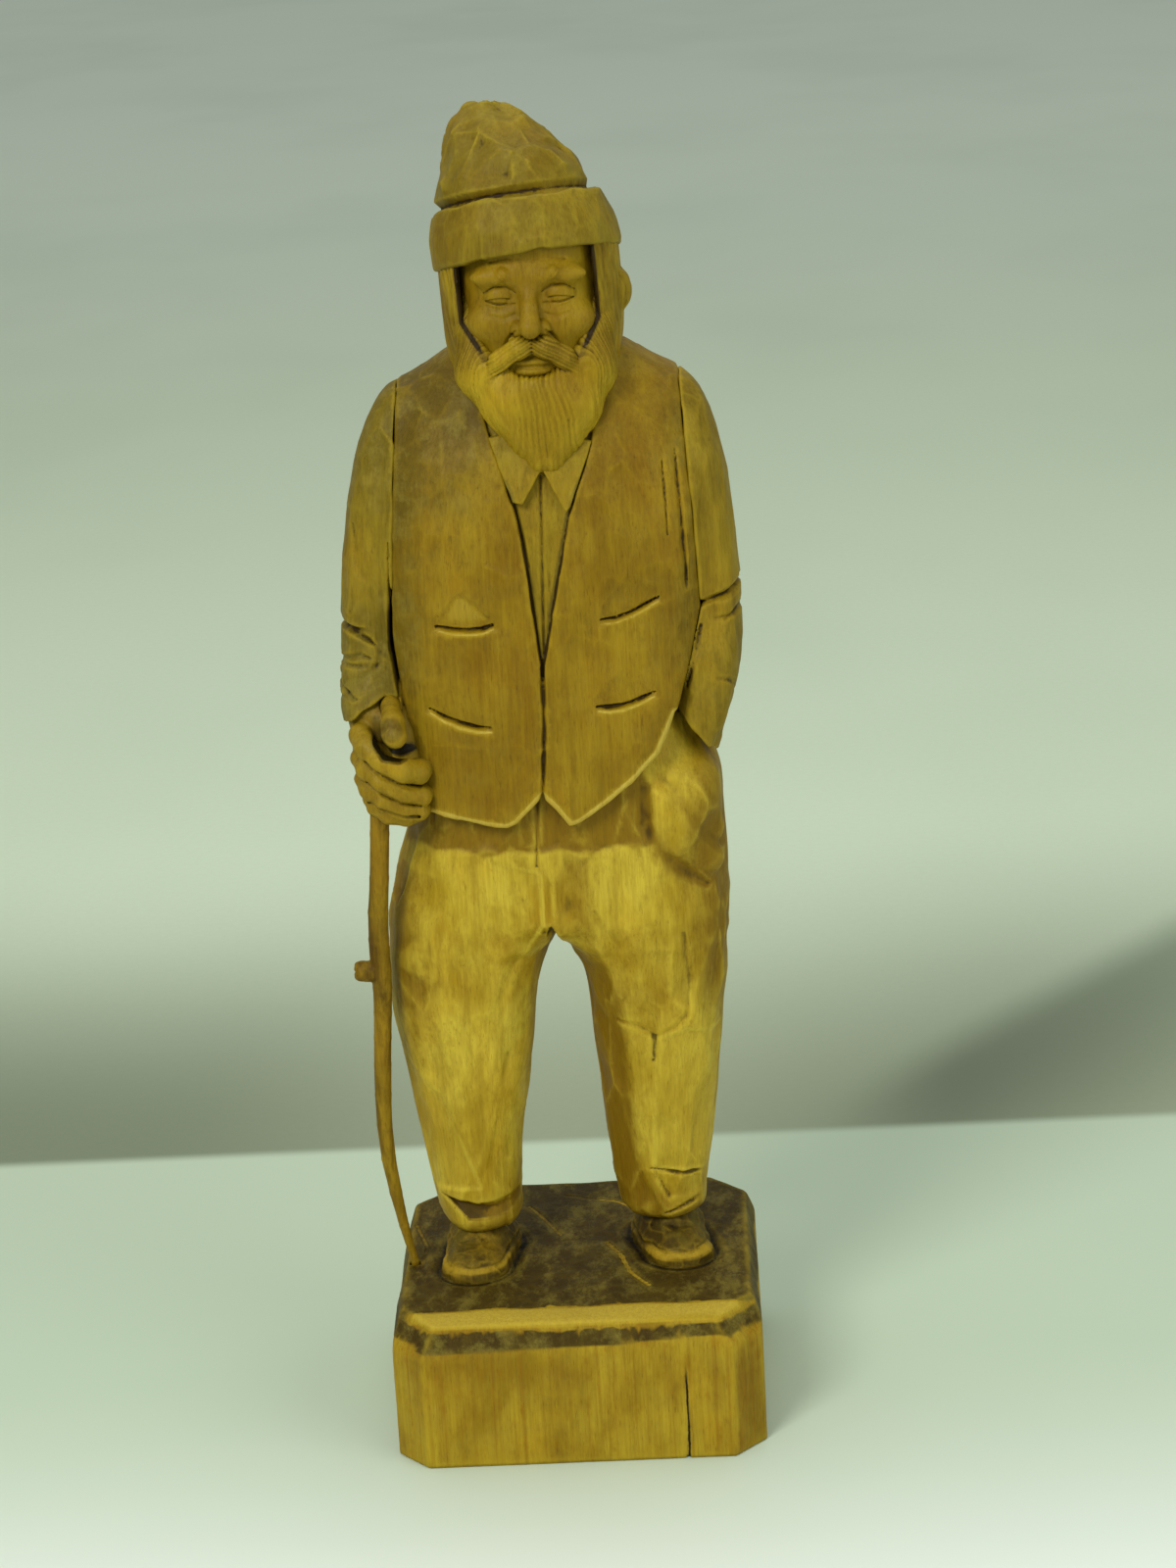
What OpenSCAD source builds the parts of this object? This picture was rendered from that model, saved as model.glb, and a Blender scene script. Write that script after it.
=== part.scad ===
// Carved wooden figurine: an old man in a knit cap and waistcoat, standing on the block
// he is carved from and leaning on a separate whittled stick. He faces -Y, +Z is up,
// and the origin is the middle of the block's underside. "Right" is the man's right, at -X.

/* [Block] */
// Width of the base block
base_w = 95; // [92:0.5:104]
// Depth of the base block
base_d = 94; // [80:0.5:110]
// Height of the base block to the ground that the shoes stand on
base_h = 39.5; // [30:0.5:60]
// Height of the carved rim above the plain sawn sides
rim_h = 7; // [4:0.5:10]
// Depth of the shallow bevel along the front edge
front_bevel = 8; // [3:0.5:10]
// Corner chamfer, across the front
corner_x = 8; // [4:0.5:14]
// Corner chamfer, along the sides
corner_y = 9; // [4:0.5:14]
// Width of the drying crack at the underside
crack_w = 1; // [0.4:0.1:2]

/* [Figure] */
// Height of the figure above the block
figure_h = 300; // [290:1:305]
// How far the waistcoat stands out from the shirt in its opening
opening_step = 1.8; // [1:0.1:3]
// Height of the cap's turned-up band
band_h = 15; // [12:0.5:18]
// Backward tilt of the cap
cap_tilt = 12; // [0:1:16]

/* [Stick] */
// Thickness of the stick where the fist holds it
stick_d = 4.9; // [4:0.1:5.4]
// Gap between the stick and the hole in the fist, all round
grip_gap = 0.5; // [0.4:0.05:0.6]
// Thickness of the peg at the stick's foot
peg_d = 2; // [1.6:0.1:2.2]
// Gap between the peg and its socket, all round
socket_gap = 0.4; // [0.3:0.05:0.5]
// Depth of the socket in the block
socket_depth = 5; // [3:0.5:8]

/* [Hidden] */

scale_up = figure_h / 300; // every figure size below is for a 300 mm figure
far = 200;                 // reaches past everything
sides = 28;                // corners of one ring of a loft
between = 2;               // rings for each step of a loft

stained = "#4a3a1c";
raw_wood = "#c9a552";
worn_wood = "#b08a3a";
cloth_wood = "#9c7a30";
bark_wood = "#a07c34";

// ---- Lofts: rows are [height, centre x, centre y, half width, half depth, squareness] ----

function power(v, e) = sign(v) * pow(abs(v), 2 / e);
function ring(r) = [for (i = [0:sides - 1]) let (a = 360 * i / sides)
    [r[1] + r[3] * power(cos(a), r[5]), r[2] + r[4] * power(sin(a), r[5]), r[0]]];

// A smooth curve through the rows, so that a few rows give a rounded body
function curve(a, b, c, d, t) = b + 0.5 * t * (c - a + t * (2 * a - 5 * b + 4 * c - d
    + t * (3 * (b - c) + d - a)));
function row_at(rows, i, t) = curve(rows[max(i - 1, 0)], rows[i], rows[i + 1],
    rows[min(i + 2, len(rows) - 1)], t);
function smooth(rows) = concat([for (i = [0:len(rows) - 2]) for (s = [0:between - 1])
    row_at(rows, i, s / between)], [rows[len(rows) - 1]]);

module loft(rows) {
    rings = smooth(rows);
    last = len(rings) - 1;
    function at(j, i) = j * sides + i % sides;
    walls = [for (j = [0:last - 1]) for (i = [0:sides - 1])
        each [[at(j, i), at(j + 1, i), at(j + 1, i + 1)], [at(j, i), at(j + 1, i + 1), at(j, i + 1)]]];
    floor_face = [for (i = [0:sides - 1]) i];
    roof_face = [for (i = [sides - 1:-1:0]) at(last, i)];
    polyhedron([for (r = rings) each ring(r)], concat([floor_face, roof_face], walls));
}

// A prism along Y with the front-view outline [[x, z], ...]
module front_prism(outline, y_from, y_to)
    translate([0, y_to, 0]) rotate([90, 0, 0]) linear_extrude(y_to - y_from) polygon(outline);

// Places the figure on the block
module on_block() translate([0, 0, base_h]) scale(scale_up) children();

// ---- Base block ----

rim_side = 1.5; // how far the rim leans in at the sides and back
band_lean = 2;  // how far the dark band under the front bevel leans in
band_top = 2;   // how far that band stops below the top face

function octagon(in_side, in_front) = let (x = base_w / 2 - in_side, yf = base_d / 2 - in_front,
    yb = base_d / 2 - in_side, cx = corner_x, cy = corner_y)
    [[-x + cx, -yf], [x - cx, -yf], [x, -yf + cy], [x, yb - cy],
     [x - cx, yb], [-x + cx, yb], [-x, yb - cy], [-x, -yf + cy]];

// A thin plate; the block is the hull of these
module plate(z, in_side, in_front)
    translate([0, 0, z]) linear_extrude(0.01) polygon(octagon(in_side, in_front));

crack_at = [27.5, 27]; // across the front, and how high the drying crack runs
crack_deep = 9;

module base() color(stained) difference() {
    hull() {
        plate(0, 0, 0);
        plate(base_h - rim_h, 0, 0);
        plate(base_h - band_top, rim_side, band_lean);
        plate(base_h - 0.01, 2 * rim_side, band_lean + front_bevel);
    }
    front_prism([[crack_at[0] - crack_w / 2, -1], [crack_at[0] + crack_w / 2, -1],
        [crack_at[0], crack_at[1]]], -base_d, -base_d / 2 + crack_deep);
    on_block() along_stick(stick_foot) translate([0, 0, -socket_depth])
        cylinder(d = peg_d + 2 * socket_gap, h = 2 * socket_depth, $fn = 32);
}

// ---- Shoes and trousers ----

sole_h = 6.5;
shoe_r = 9.4;

module shoe(heel, toe) intersection() {
    hull() {
        translate(heel) scale([1, 1, 0.8]) sphere(r = shoe_r, $fn = 28);
        translate(toe) scale([1, 1.05, 0.72]) sphere(r = shoe_r, $fn = 28);
    }
    translate([-far / 2, -far / 2, 0]) cube([far, far, sole_h]);
}

module right_shoe() color(cloth_wood) on_block() shoe([-24.5, 6, 0], [-26.5, -10.5, 0]);
module left_shoe() color(cloth_wood) on_block() shoe([23.5, 8, 0], [27, -6, 0]);

right_leg_rows = [
    [sole_h, -24.5, 2, 9.8, 12, 2.2], [16, -25.6, 2.5, 11.4, 13.2, 2.3], [30, -25.8, 3, 12.8, 14.5, 2.3],
    [46, -25.4, 3, 15.2, 16.2, 2.3], [58, -25.2, 2.5, 17, 17.6, 2.3], [69, -25.6, 2.5, 18.6, 19, 2.4],
    [77, -24.4, 2.5, 19.6, 20.5, 2.5], [83, -21.8, 3, 21.8, 21.8, 2.6]];
left_leg_rows = [
    [sole_h, 23.7, 4, 10.3, 12, 2.2], [16, 23.1, 4.5, 12.1, 13.2, 2.3], [30, 23.4, 4.5, 14, 14.5, 2.3],
    [46, 23.8, 4, 15.2, 16.2, 2.3], [58, 24.2, 3.5, 16.8, 17.6, 2.3], [69, 24.4, 3, 17.4, 19, 2.4],
    [77, 24.2, 3, 18.6, 20.5, 2.5], [83, 21.8, 3, 21.8, 21.8, 2.6]];

module right_leg() color(raw_wood) on_block() loft(right_leg_rows);
module left_leg() color(raw_wood) on_block() loft(left_leg_rows);

seat_rows = [
    [83, 0, 3, 43.6, 22, 2.7], [96, 1, 3, 43, 24, 2.7], [110, 2.2, 3, 42, 24.6, 2.6],
    [121, 3.8, 3, 39.6, 24.4, 2.5], [132, 4, 3, 37.4, 24, 2.5], [142, 3.5, 3, 36, 23.6, 2.5],
    [153, 2.5, 3, 35, 23, 2.5]];

// The waistcoat's hem, seen from the front: two points in front, and a straight edge behind
front_hem = [[-60, 129], [-29, 128], [-22, 126], [-10.5, 124], [-6.2, 127], [-1.2, 131.7], [5.1, 123.7],
    [16, 130], [26, 138], [28.5, 141], [33, 150.5], [45, 136]];
back_hem = [[-60, 128], [28, 128], [33, 150.5], [45, 136]];
hem_y = 3; // where the front hem turns into the back one

module below_hem() {
    front_prism(concat(front_hem, [[60, 60], [-60, 60]]), -far, hem_y);
    front_prism(concat(back_hem, [[60, 60], [-60, 60]]), hem_y, far);
}

module trouser_seat() color(raw_wood) on_block() intersection() {
    loft(seat_rows);
    below_hem();
}

// ---- Waistcoat and shirt ----

torso_rows = [
    [118, 1, 2.5, 40, 27.2, 2.5], [135, 1, 2.5, 39.5, 27.5, 2.5], [156, 1.5, 2.5, 39.5, 27.7, 2.5],
    [176, 2, 3, 40, 28, 2.5], [196, 2.5, 3.5, 41, 27.6, 2.5], [212, 2.5, 4.5, 41, 26, 2.5],
    [224, 2.5, 5.5, 39, 23, 2.4], [232, 2.5, 6.5, 34, 20, 2.3], [239, 2.5, 7, 24, 17, 2.2],
    [243, 2.5, 7, 18, 15, 2]];

right_armhole = [[-33, 240], [-33, 222], [-34, 208], [-36, 180], [-37.3, 170], [-35, 158], [-33, 146],
    [-30, 118]];
left_armhole = [[40, 118], [33, 150.5], [36.5, 162], [40.2, 176], [39.3, 192], [38.6, 205], [38, 222],
    [37, 240]];
opening = [[-13, 234], [-9.1, 222], [-4.4, 205.5], [-2, 190], [-0.3, 171], [0.6, 162.7], [4.2, 179.5],
    [9.3, 202.5], [15.4, 219.5], [18.5, 234]];
opening_back = -6; // the shirt front reaches back to here

module waistcoat() color(cloth_wood) on_block() difference() {
    intersection() {
        loft(torso_rows);
        front_prism(concat(right_armhole, left_armhole), -far, far);
    }
    below_hem();
    front_prism(opening, -far, opening_back);
}

collar_right = [[2.8, 213], [-1.6, 206.4], [-4, 207], [-8, 222], [1, 222]];
collar_left = [[3.5, 213], [8.2, 203.8], [9.2, 205], [14.2, 220], [5, 222]];
collar_foot = [0, -21.9, 205]; // on the chest, between the collar's points
chest_slope = 13;
collar_proud = 0.9;

module collar() translate(collar_foot) rotate([-chest_slope, 0, 0]) translate([0, 0, -collar_foot[2]]) {
    front_prism(collar_right, -collar_proud, 3);
    front_prism(collar_left, -collar_proud, 3);
}

module shirt_front() color(worn_wood) on_block() difference() {
    union() {
        intersection() {
            translate([0, opening_step, 0]) loft(torso_rows);
            front_prism(opening, -far, opening_back);
        }
        collar();
    }
    loft(beard_rows);
}

// ---- Sleeves ----

wrist_h = 149.3; // the sleeve ends and the hand starts
right_sleeve_rows = [
    [wrist_h, -42.4, -9.5, 7.9, 10.4, 2.2], [156, -43, -5, 8.2, 11.2, 2.2],
    [164, -43, -0.5, 7.6, 12, 2.3], [172, -42.6, 2, 7.2, 12.4, 2.3], [185, -41.4, 3, 8, 12.8, 2.3],
    [200, -38.6, 3.5, 8.6, 12.8, 2.3], [214, -36, 3.5, 8.4, 12.2, 2.3], [225, -33.4, 3.5, 6.6, 10.5, 2.2],
    [232, -30, 4, 4.6, 8.5, 2.2]];
left_sleeve_rows = [
    [128, 37.6, -8, 5, 8, 2.2], [136, 38.6, -7, 6.2, 9, 2.2], [150, 40.4, -4.5, 7.6, 10.8, 2.2],
    [162, 42, -1.5, 7.9, 12, 2.3], [172, 43.4, 1.5, 7.2, 12.4, 2.3], [184, 43, 3, 7.4, 12.8, 2.3],
    [200, 41.2, 3.5, 8, 12.8, 2.3], [214, 39.4, 3.5, 7.8, 12.2, 2.3], [226, 36.6, 3.5, 6.6, 10.5, 2.2],
    [232, 34, 4, 5, 8.5, 2.2]];
cuff_line = [[28, 156.5], [33, 150.5], [46, 134.9], [60, 134.9], [60, 60], [28, 60]];

module right_sleeve() color(worn_wood) on_block() difference() {
    loft(right_sleeve_rows);
    front_prism(concat(right_armhole, left_armhole), -far, far);
    intersection() {
        loft(seat_rows);
        below_hem();
    }
}

module left_sleeve() color(worn_wood) on_block() difference() {
    loft(left_sleeve_rows);
    front_prism(concat(right_armhole, left_armhole), -far, far);
    front_prism(cuff_line, -far, far);
    intersection() {
        loft(seat_rows);
        below_hem();
    }
}

// ---- Stick ----

stick_foot = [-42.8, -5.6, 0];
grip_at = [-43.2, -18.1, 118.5]; // a point of the straight upper stretch
lean = [0.083, -0.108, 1];       // direction of that stretch, and of the stick's travel

lean_out = atan2(norm([lean[0], lean[1]]), lean[2]);
lean_turn = atan2(lean[1], lean[0]);

module along_stick(at) translate(at) rotate([0, lean_out, lean_turn]) children();

function up_stick(h) = grip_at + lean * h;

// [place, thickness as a share of stick_d], from the foot up
stick_path = [
    [stick_foot, 0.40], [[-43.6, -5.9, 4], 0.42], [[-44.9, -6.7, 11], 0.5], [[-46.4, -7.7, 21], 0.66],
    [[-47.5, -8.8, 31], 0.76], [[-47.8, -9.9, 41], 0.8], [[-47.4, -11.2, 53], 0.88],
    [[-46.4, -12.5, 66], 0.92], [[-45.5, -13.8, 77], 0.9], [[-45.4, -14.6, 85], 1.04],
    [[-45.2, -15.5, 94], 1.0], [[-44.6, -16.5, 104], 1], [up_stick(-8), 1], [up_stick(4), 1],
    [up_stick(20), 0.98]];
stick_sides = 12;

function unit(v) = v / norm(v);
function tangent(p, i) = unit(p[min(i + 1, len(p) - 1)][0] - p[max(i - 1, 0)][0]);
function stick_ring(p, i) = let (t = tangent(p, i), a = unit(cross(t, [0, 1, 0])), b = cross(t, a))
    [for (k = [0:stick_sides - 1]) let (w = 360 * k / stick_sides)
        p[i][0] + p[i][1] * stick_d / 2 * (a * cos(w) + b * sin(w))];

module stick_sweep(p) {
    last = len(p) - 1;
    function at(j, i) = j * stick_sides + i % stick_sides;
    walls = [for (j = [0:last - 1]) for (i = [0:stick_sides - 1])
        each [[at(j, i), at(j + 1, i), at(j + 1, i + 1)], [at(j, i), at(j + 1, i + 1), at(j, i + 1)]]];
    ends = [[for (i = [0:stick_sides - 1]) i], [for (i = [stick_sides - 1:-1:0]) at(last, i)]];
    polyhedron([for (i = [0:last]) each stick_ring(p, i)], concat(ends, walls));
}

knot_root = [-46, -14.6, 87];
knot_tip = [-50.2, -15, 88.5];

module stick() color(bark_wood) on_block() {
    stick_sweep(stick_path);
    hull() {
        translate(knot_root) sphere(r = 2.6, $fn = 24);
        translate(knot_tip) sphere(r = 1.5, $fn = 24);
    }
    along_stick(stick_foot) translate([0, 0, -socket_depth])
        cylinder(d = peg_d, h = socket_depth, $fn = 32);
}

// ---- Right fist ----

finger_r = 2.75;
fingers = [13, 18, 23, 28]; // how high each finger lies above grip_at, along the stick
finger_tilt = 12;           // the fingertips lie lower than the knuckles
// A finger's knuckle, first bend, tip and root, around the stick's axis
finger_bends = [[-5.6, 1.5, 0], [-3.6, -5.2, 0], [8.6, -5.8, 0], [7, 2, 0]];

hole_h = [-4, 28]; // where the hole starts and ends, as heights above grip_at

module fist_hole() along_stick(up_stick(hole_h[0]))
    cylinder(d = stick_d + 2 * grip_gap, h = hole_h[1] - hole_h[0], $fn = 40);

module finger(h) translate(up_stick(h)) rotate([0, finger_tilt, 0])
    hull() for (bend = finger_bends) translate(bend) sphere(r = finger_r, $fn = 20);

module right_fist() color(worn_wood) on_block() difference() {
    union() {
        for (h = fingers) finger(h);
        hull() {
            translate([-41.5, -13.5, 133]) sphere(r = 5, $fn = 20);
            translate([-35, -16, 134]) sphere(r = 4.5, $fn = 20);
            translate([-42.4, -11.5, 149]) sphere(r = 6.5, $fn = 20);
            translate([-37, -15, 147]) sphere(r = 4.5, $fn = 20);
        }
        thumb();
    }
    fist_hole();
    loft(right_sleeve_rows);
    loft(torso_rows);
    loft(seat_rows);
}

module thumb() hull() {
    translate([-35.5, -25, 148]) sphere(r = 3, $fn = 24);
    translate([-38, -19, 156]) sphere(r = 3.4, $fn = 24);
}

// ---- Head ----

head_rows = [
    [218, 2.5, 6, 15, 15, 2], [228, 2.5, 4, 18.5, 18.5, 2.1], [240, 2.5, 1.5, 21.2, 21.8, 2.2],
    [252, 2.5, 0.5, 22.2, 23, 2.2], [266, 2, 0.5, 22, 23.5, 2.1], [274, 2, 0.5, 21, 22.5, 2.1]];
beard_rows = [
    [213, 3, -20.5, 2, 3, 2], [218, 3, -19.5, 8, 6.5, 2], [225, 3, -18.5, 13, 8.2, 2.1],
    [233, 3, -16, 17, 10, 2.1], [241, 3, -13.7, 19.6, 11.4, 2.1], [249, 3, -13, 20.4, 10.6, 2.1]];
face_outline = [[-12, 280], [-13.5, 250], [-8, 240], [13, 240], [18.5, 250], [17, 280]];
face_back = -1.5;
head_x = 2.5;            // the head's middle, across
eye_apart = 14;          // between the middles of the eyes
eye_h = 256;
ear_lock = [24, 2, 252]; // where a lock of hair stands out over the left ear
cap_at = [2, 0, 262];

module in_cap() translate(cap_at) rotate([-cap_tilt, -6, 0]) children();
module above_brim() in_cap() translate([-far / 2, -far / 2, 0]) cube([far, far, far]);
module face_prism() front_prism(face_outline, -far, face_back);

module nose() hull() {
    translate([head_x, -20.5, 257]) sphere(r = 1.8, $fn = 20);
    translate([head_x, -24, 247.5]) sphere(r = 2.6, $fn = 20);
    translate([head_x, -19, 247]) sphere(r = 4, $fn = 20);
}

module at_eyes() for (side = [-1, 1]) translate([head_x + side * eye_apart / 2, 0, eye_h]) children();
module eye_sockets() at_eyes() translate([0, -22.8, 0]) scale([4.8, 3.4, 3.1]) sphere(r = 1, $fn = 24);
module eyes() at_eyes() translate([0, -16.4, 0]) sphere(r = 4, $fn = 24);
module mouth() translate([head_x, -25.5, 238.4]) scale([5, 2.2, 0.8]) sphere(r = 1, $fn = 24);

module face() color(worn_wood) on_block() difference() {
    union() {
        difference() {
            intersection() {
                loft(head_rows);
                face_prism();
            }
            eye_sockets();
        }
        eyes();
        intersection() {
            nose();
            face_prism();
        }
    }
    above_brim();
}

module whiskers(side) hull() {
    translate([head_x + side * 2, -23.6, 242.5]) sphere(r = 2.2, $fn = 20);
    translate([head_x + side * 11.5, -21.5, 235.5]) sphere(r = 1.6, $fn = 20);
}

module beard() color(raw_wood) on_block() difference() {
    union() {
        loft(beard_rows);
        for (side = [-1, 1]) whiskers(side);
    }
    mouth();
    face_prism();
    loft(torso_rows);
}

module hair() color(raw_wood) on_block() difference() {
    union() {
        loft(head_rows);
        translate(ear_lock) scale([0.7, 1, 1.3]) sphere(r = 4, $fn = 24);
    }
    above_brim();
    face_prism();
    loft(beard_rows);
    loft(torso_rows);
}

// ---- Cap ----

band_rows = [
    [0, 0, 0, 23, 24.5, 2.1], [band_h / 2, -0.3, 0, 22.6, 24.2, 2.1], [band_h, -0.6, 0.4, 20.6, 22.4, 2.1]];
crown_rows = [
    [band_h, -1.4, 0.4, 19.2, 21, 2.1], [band_h + 5, -1.5, 0.8, 18, 20, 2.1],
    [band_h + 10, -1.7, 1.4, 15.8, 17.8, 2.1], [band_h + 17, -3, 3, 10.8, 13, 2.1],
    [band_h + 22, -3.2, 4.2, 6.4, 8.4, 2.1], [band_h + 23.4, -3.2, 4.6, 4, 5, 2.1]];

module cap_band() color(worn_wood) on_block() in_cap() loft(band_rows);
module cap_crown() color(cloth_wood) on_block() in_cap() loft(crown_rows);

base();
right_shoe();
left_shoe();
right_leg();
left_leg();
trouser_seat();
waistcoat();
shirt_front();
right_sleeve();
left_sleeve();
right_fist();
face();
beard();
hair();
cap_band();
cap_crown();
stick();
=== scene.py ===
# The looks of the carved old man with a stick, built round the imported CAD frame.
# Shapes are signed distance functions in millimetres, in a figure frame whose z = 0 is the top of
# the block. They are meshed with surface nets, cut with knife marks, thinned and then coloured.
import math

import bpy
import numpy as np
from mathutils import Matrix, Vector


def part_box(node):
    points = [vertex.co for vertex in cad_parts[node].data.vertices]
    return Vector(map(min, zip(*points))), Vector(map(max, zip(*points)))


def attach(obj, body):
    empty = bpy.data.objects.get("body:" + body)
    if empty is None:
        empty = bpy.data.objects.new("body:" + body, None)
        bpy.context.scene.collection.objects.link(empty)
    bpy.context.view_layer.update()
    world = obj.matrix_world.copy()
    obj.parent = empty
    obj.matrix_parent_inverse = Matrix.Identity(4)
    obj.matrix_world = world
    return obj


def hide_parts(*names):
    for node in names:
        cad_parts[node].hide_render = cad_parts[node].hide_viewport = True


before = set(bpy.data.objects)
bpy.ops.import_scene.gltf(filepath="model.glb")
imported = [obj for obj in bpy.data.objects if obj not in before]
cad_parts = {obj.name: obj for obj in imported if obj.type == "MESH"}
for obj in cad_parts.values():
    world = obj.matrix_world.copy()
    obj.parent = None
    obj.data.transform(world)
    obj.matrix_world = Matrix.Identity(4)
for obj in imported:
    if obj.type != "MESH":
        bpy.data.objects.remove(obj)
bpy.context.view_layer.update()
MM = 0.001
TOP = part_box("base")[1].z / MM  # the ground that the shoes stand on
scene = bpy.context.scene
scene.view_settings.view_transform = "Standard"

# ---------------------------------------------------------------- camera, floor and lights

CAMERA_AT = (0.039, -0.933, 0.447)
YAW, PITCH, ROLL = (math.radians(turn) for turn in (1.81, 16.7, -3.2))
LENS, SENSOR = 87.75, 36
fwd = Vector((-math.sin(YAW) * math.cos(PITCH), math.cos(YAW) * math.cos(PITCH), -math.sin(PITCH)))
level = Vector((math.cos(YAW), math.sin(YAW), 0))
upright = level.cross(fwd)
right = math.cos(ROLL) * level + math.sin(ROLL) * upright
up = math.cos(ROLL) * upright - math.sin(ROLL) * level
cam = bpy.data.objects.new("camera", bpy.data.cameras.new("camera"))
cam.matrix_world = (Matrix.Translation(CAMERA_AT)
    @ Matrix((right, up, -fwd)).transposed().to_4x4())
cam.data.lens, cam.data.sensor_width = LENS, SENSOR
cam.data.clip_start, cam.data.clip_end = 0.05, 20
scene.collection.objects.link(cam)
scene.camera = cam

for name, at, aim, size, power, colour in (
        ("key", (-0.7, -1.3, 1.3), (0, 0, 0.15), 0.7, 20, (1, 0.99, 0.95)),
        ("fill", (1.2, -1, 0.8), (0, 0, 0.15), 1.2, 8, (0.95, 1, 0.97)),
        ("top", (0, 0.3, 1.8), (0, 0, 0.1), 1.4, 10, (0.97, 1, 0.98))):
    lamp = bpy.data.lights.new(name, "AREA")
    lamp.shape, lamp.size, lamp.energy, lamp.color = "DISK", size, power, colour
    ob = bpy.data.objects.new(name, lamp)
    ob.location = at
    ob.rotation_mode = "QUATERNION"
    ob.rotation_quaternion = (Vector(aim) - Vector(at)).to_track_quat("-Z", "Y")
    scene.collection.objects.link(ob)
scene.world = bpy.data.worlds.new("room")
scene.world.use_nodes = True
room = scene.world.node_tree.nodes["Background"].inputs
room["Color"].default_value = (0.80, 0.85, 0.82, 1)
room["Strength"].default_value = 0.42

# ---------------------------------------------------------------- distance functions


def smin(a, b, k):
    """The lower of two distances, rounded over about k."""
    h = np.clip(0.5 + 0.5 * (b - a) / k, 0, 1)
    return b + (a - b) * h - k * h * (1 - h)


def smax(a, b, k):
    return -smin(-a, -b, k)


def step(a, b, v):
    """0 where v is at a, 1 where it is at b, and smooth between."""
    t = np.clip((v - a) / (b - a), 0, 1)
    return t * t * (3 - 2 * t)


def ball(P, at, r):
    return np.sqrt(sum((P[i] - at[i]) ** 2 for i in range(3))) - r


def ellipsoid(P, at, r, turn=None):
    Q = [P[i] - at[i] for i in range(3)]
    if turn is not None:
        Q = turn.astype(np.float32) @ np.array(Q)
    k0 = np.sqrt(sum((Q[i] / r[i]) ** 2 for i in range(3))) + 1e-6
    k1 = np.sqrt(sum((Q[i] / r[i] ** 2) ** 2 for i in range(3))) + 1e-6
    return k0 * (k0 - 1) / k1


def cone(P, a, b, ra, rb):
    """A round cone from a to b."""
    ba = [b[i] - a[i] for i in range(3)]
    pa = [P[i] - a[i] for i in range(3)]
    h = np.clip(sum(pa[i] * ba[i] for i in range(3)) / sum(v * v for v in ba), 0, 1)
    return np.sqrt(sum((pa[i] - ba[i] * h) ** 2 for i in range(3))) - (ra + (rb - ra) * h)


def chain(P, points, k=0.6):
    """Round cones through points of (x, y, z, radius)."""
    f = None
    for a, b in zip(points, points[1:]):
        g = cone(P, a[:3], b[:3], a[3], b[3])
        f = g if f is None else smin(f, g, k)
    return f


def polygon(P, outline):
    """Signed distance to a front-view outline [(x, z), ...]."""
    x, z = P[0], P[2]
    best = np.full(x.shape, 1e9, np.float32)
    inside = np.zeros(x.shape, bool)
    n = len(outline)
    for i in range(n):
        ax, az = outline[i]
        bx, bz = outline[(i + 1) % n]
        ex, ez = bx - ax, bz - az
        wx, wz = x - ax, z - az
        t = np.clip((wx * ex + wz * ez) / (ex * ex + ez * ez), 0, 1)
        best = np.minimum(best, (wx - ex * t) ** 2 + (wz - ez * t) ** 2)
        crosses = (az <= z) != (bz <= z)
        if ez:
            inside ^= crosses & (wx < wz * ex / ez)
    return np.where(inside, -1, 1) * np.sqrt(best)


def line(P, points, dims=(0, 2)):
    """0 to 1 inside the groove along points of (coordinates..., half width), 1 at its bottom."""
    out = np.zeros(P[0].shape, np.float32)
    for a, b in zip(points, points[1:]):
        e = [b[i] - a[i] for i in range(len(dims))]
        w = [P[d] - a[i] for i, d in enumerate(dims)]
        t = np.clip(sum(p * q for p, q in zip(w, e)) / (sum(q * q for q in e) + 1e-9), 0, 1)
        d = np.sqrt(sum((p - q * t) ** 2 for p, q in zip(w, e)))
        out = np.maximum(out, 1 - d / (a[-1] + (b[-1] - a[-1]) * t))
    return np.clip(out, 0, 1)


def dip(P, points, dims=(0, 2)):
    """Like line(), but with a rounded bottom and soft edges."""
    return step(0, 1, line(P, points, dims))


def front(P, y=0):
    """1 in front of the plane at y, 0 behind it."""
    return step(y + 2, y - 2, P[1])


XZ, YZ, XYZ = (0, 2), (1, 2), (0, 1, 2)  # which coordinates a groove's points give


def grooves(f, P, mask, *rows, dims=XZ, how=line):
    """f with a groove cut into it for each row of (depth, points), where the mask is 1."""
    for deep, points in rows:
        f = f + mask * deep * how(P, points, dims)
    return f


def rotation(about_x, about_y):
    """The matrix of a turn about Y, then one about X, in degrees."""
    a, b = math.radians(about_x), math.radians(about_y)
    rx = [[1, 0, 0], [0, math.cos(a), -math.sin(a)], [0, math.sin(a), math.cos(a)]]
    ry = [[math.cos(b), 0, math.sin(b)], [0, 1, 0], [-math.sin(b), 0, math.cos(b)]]
    return np.array(rx) @ np.array(ry)


DEEPEST, FARTHEST = -12, 40  # a loft's distance is only near the truth, so it stays within these


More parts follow.
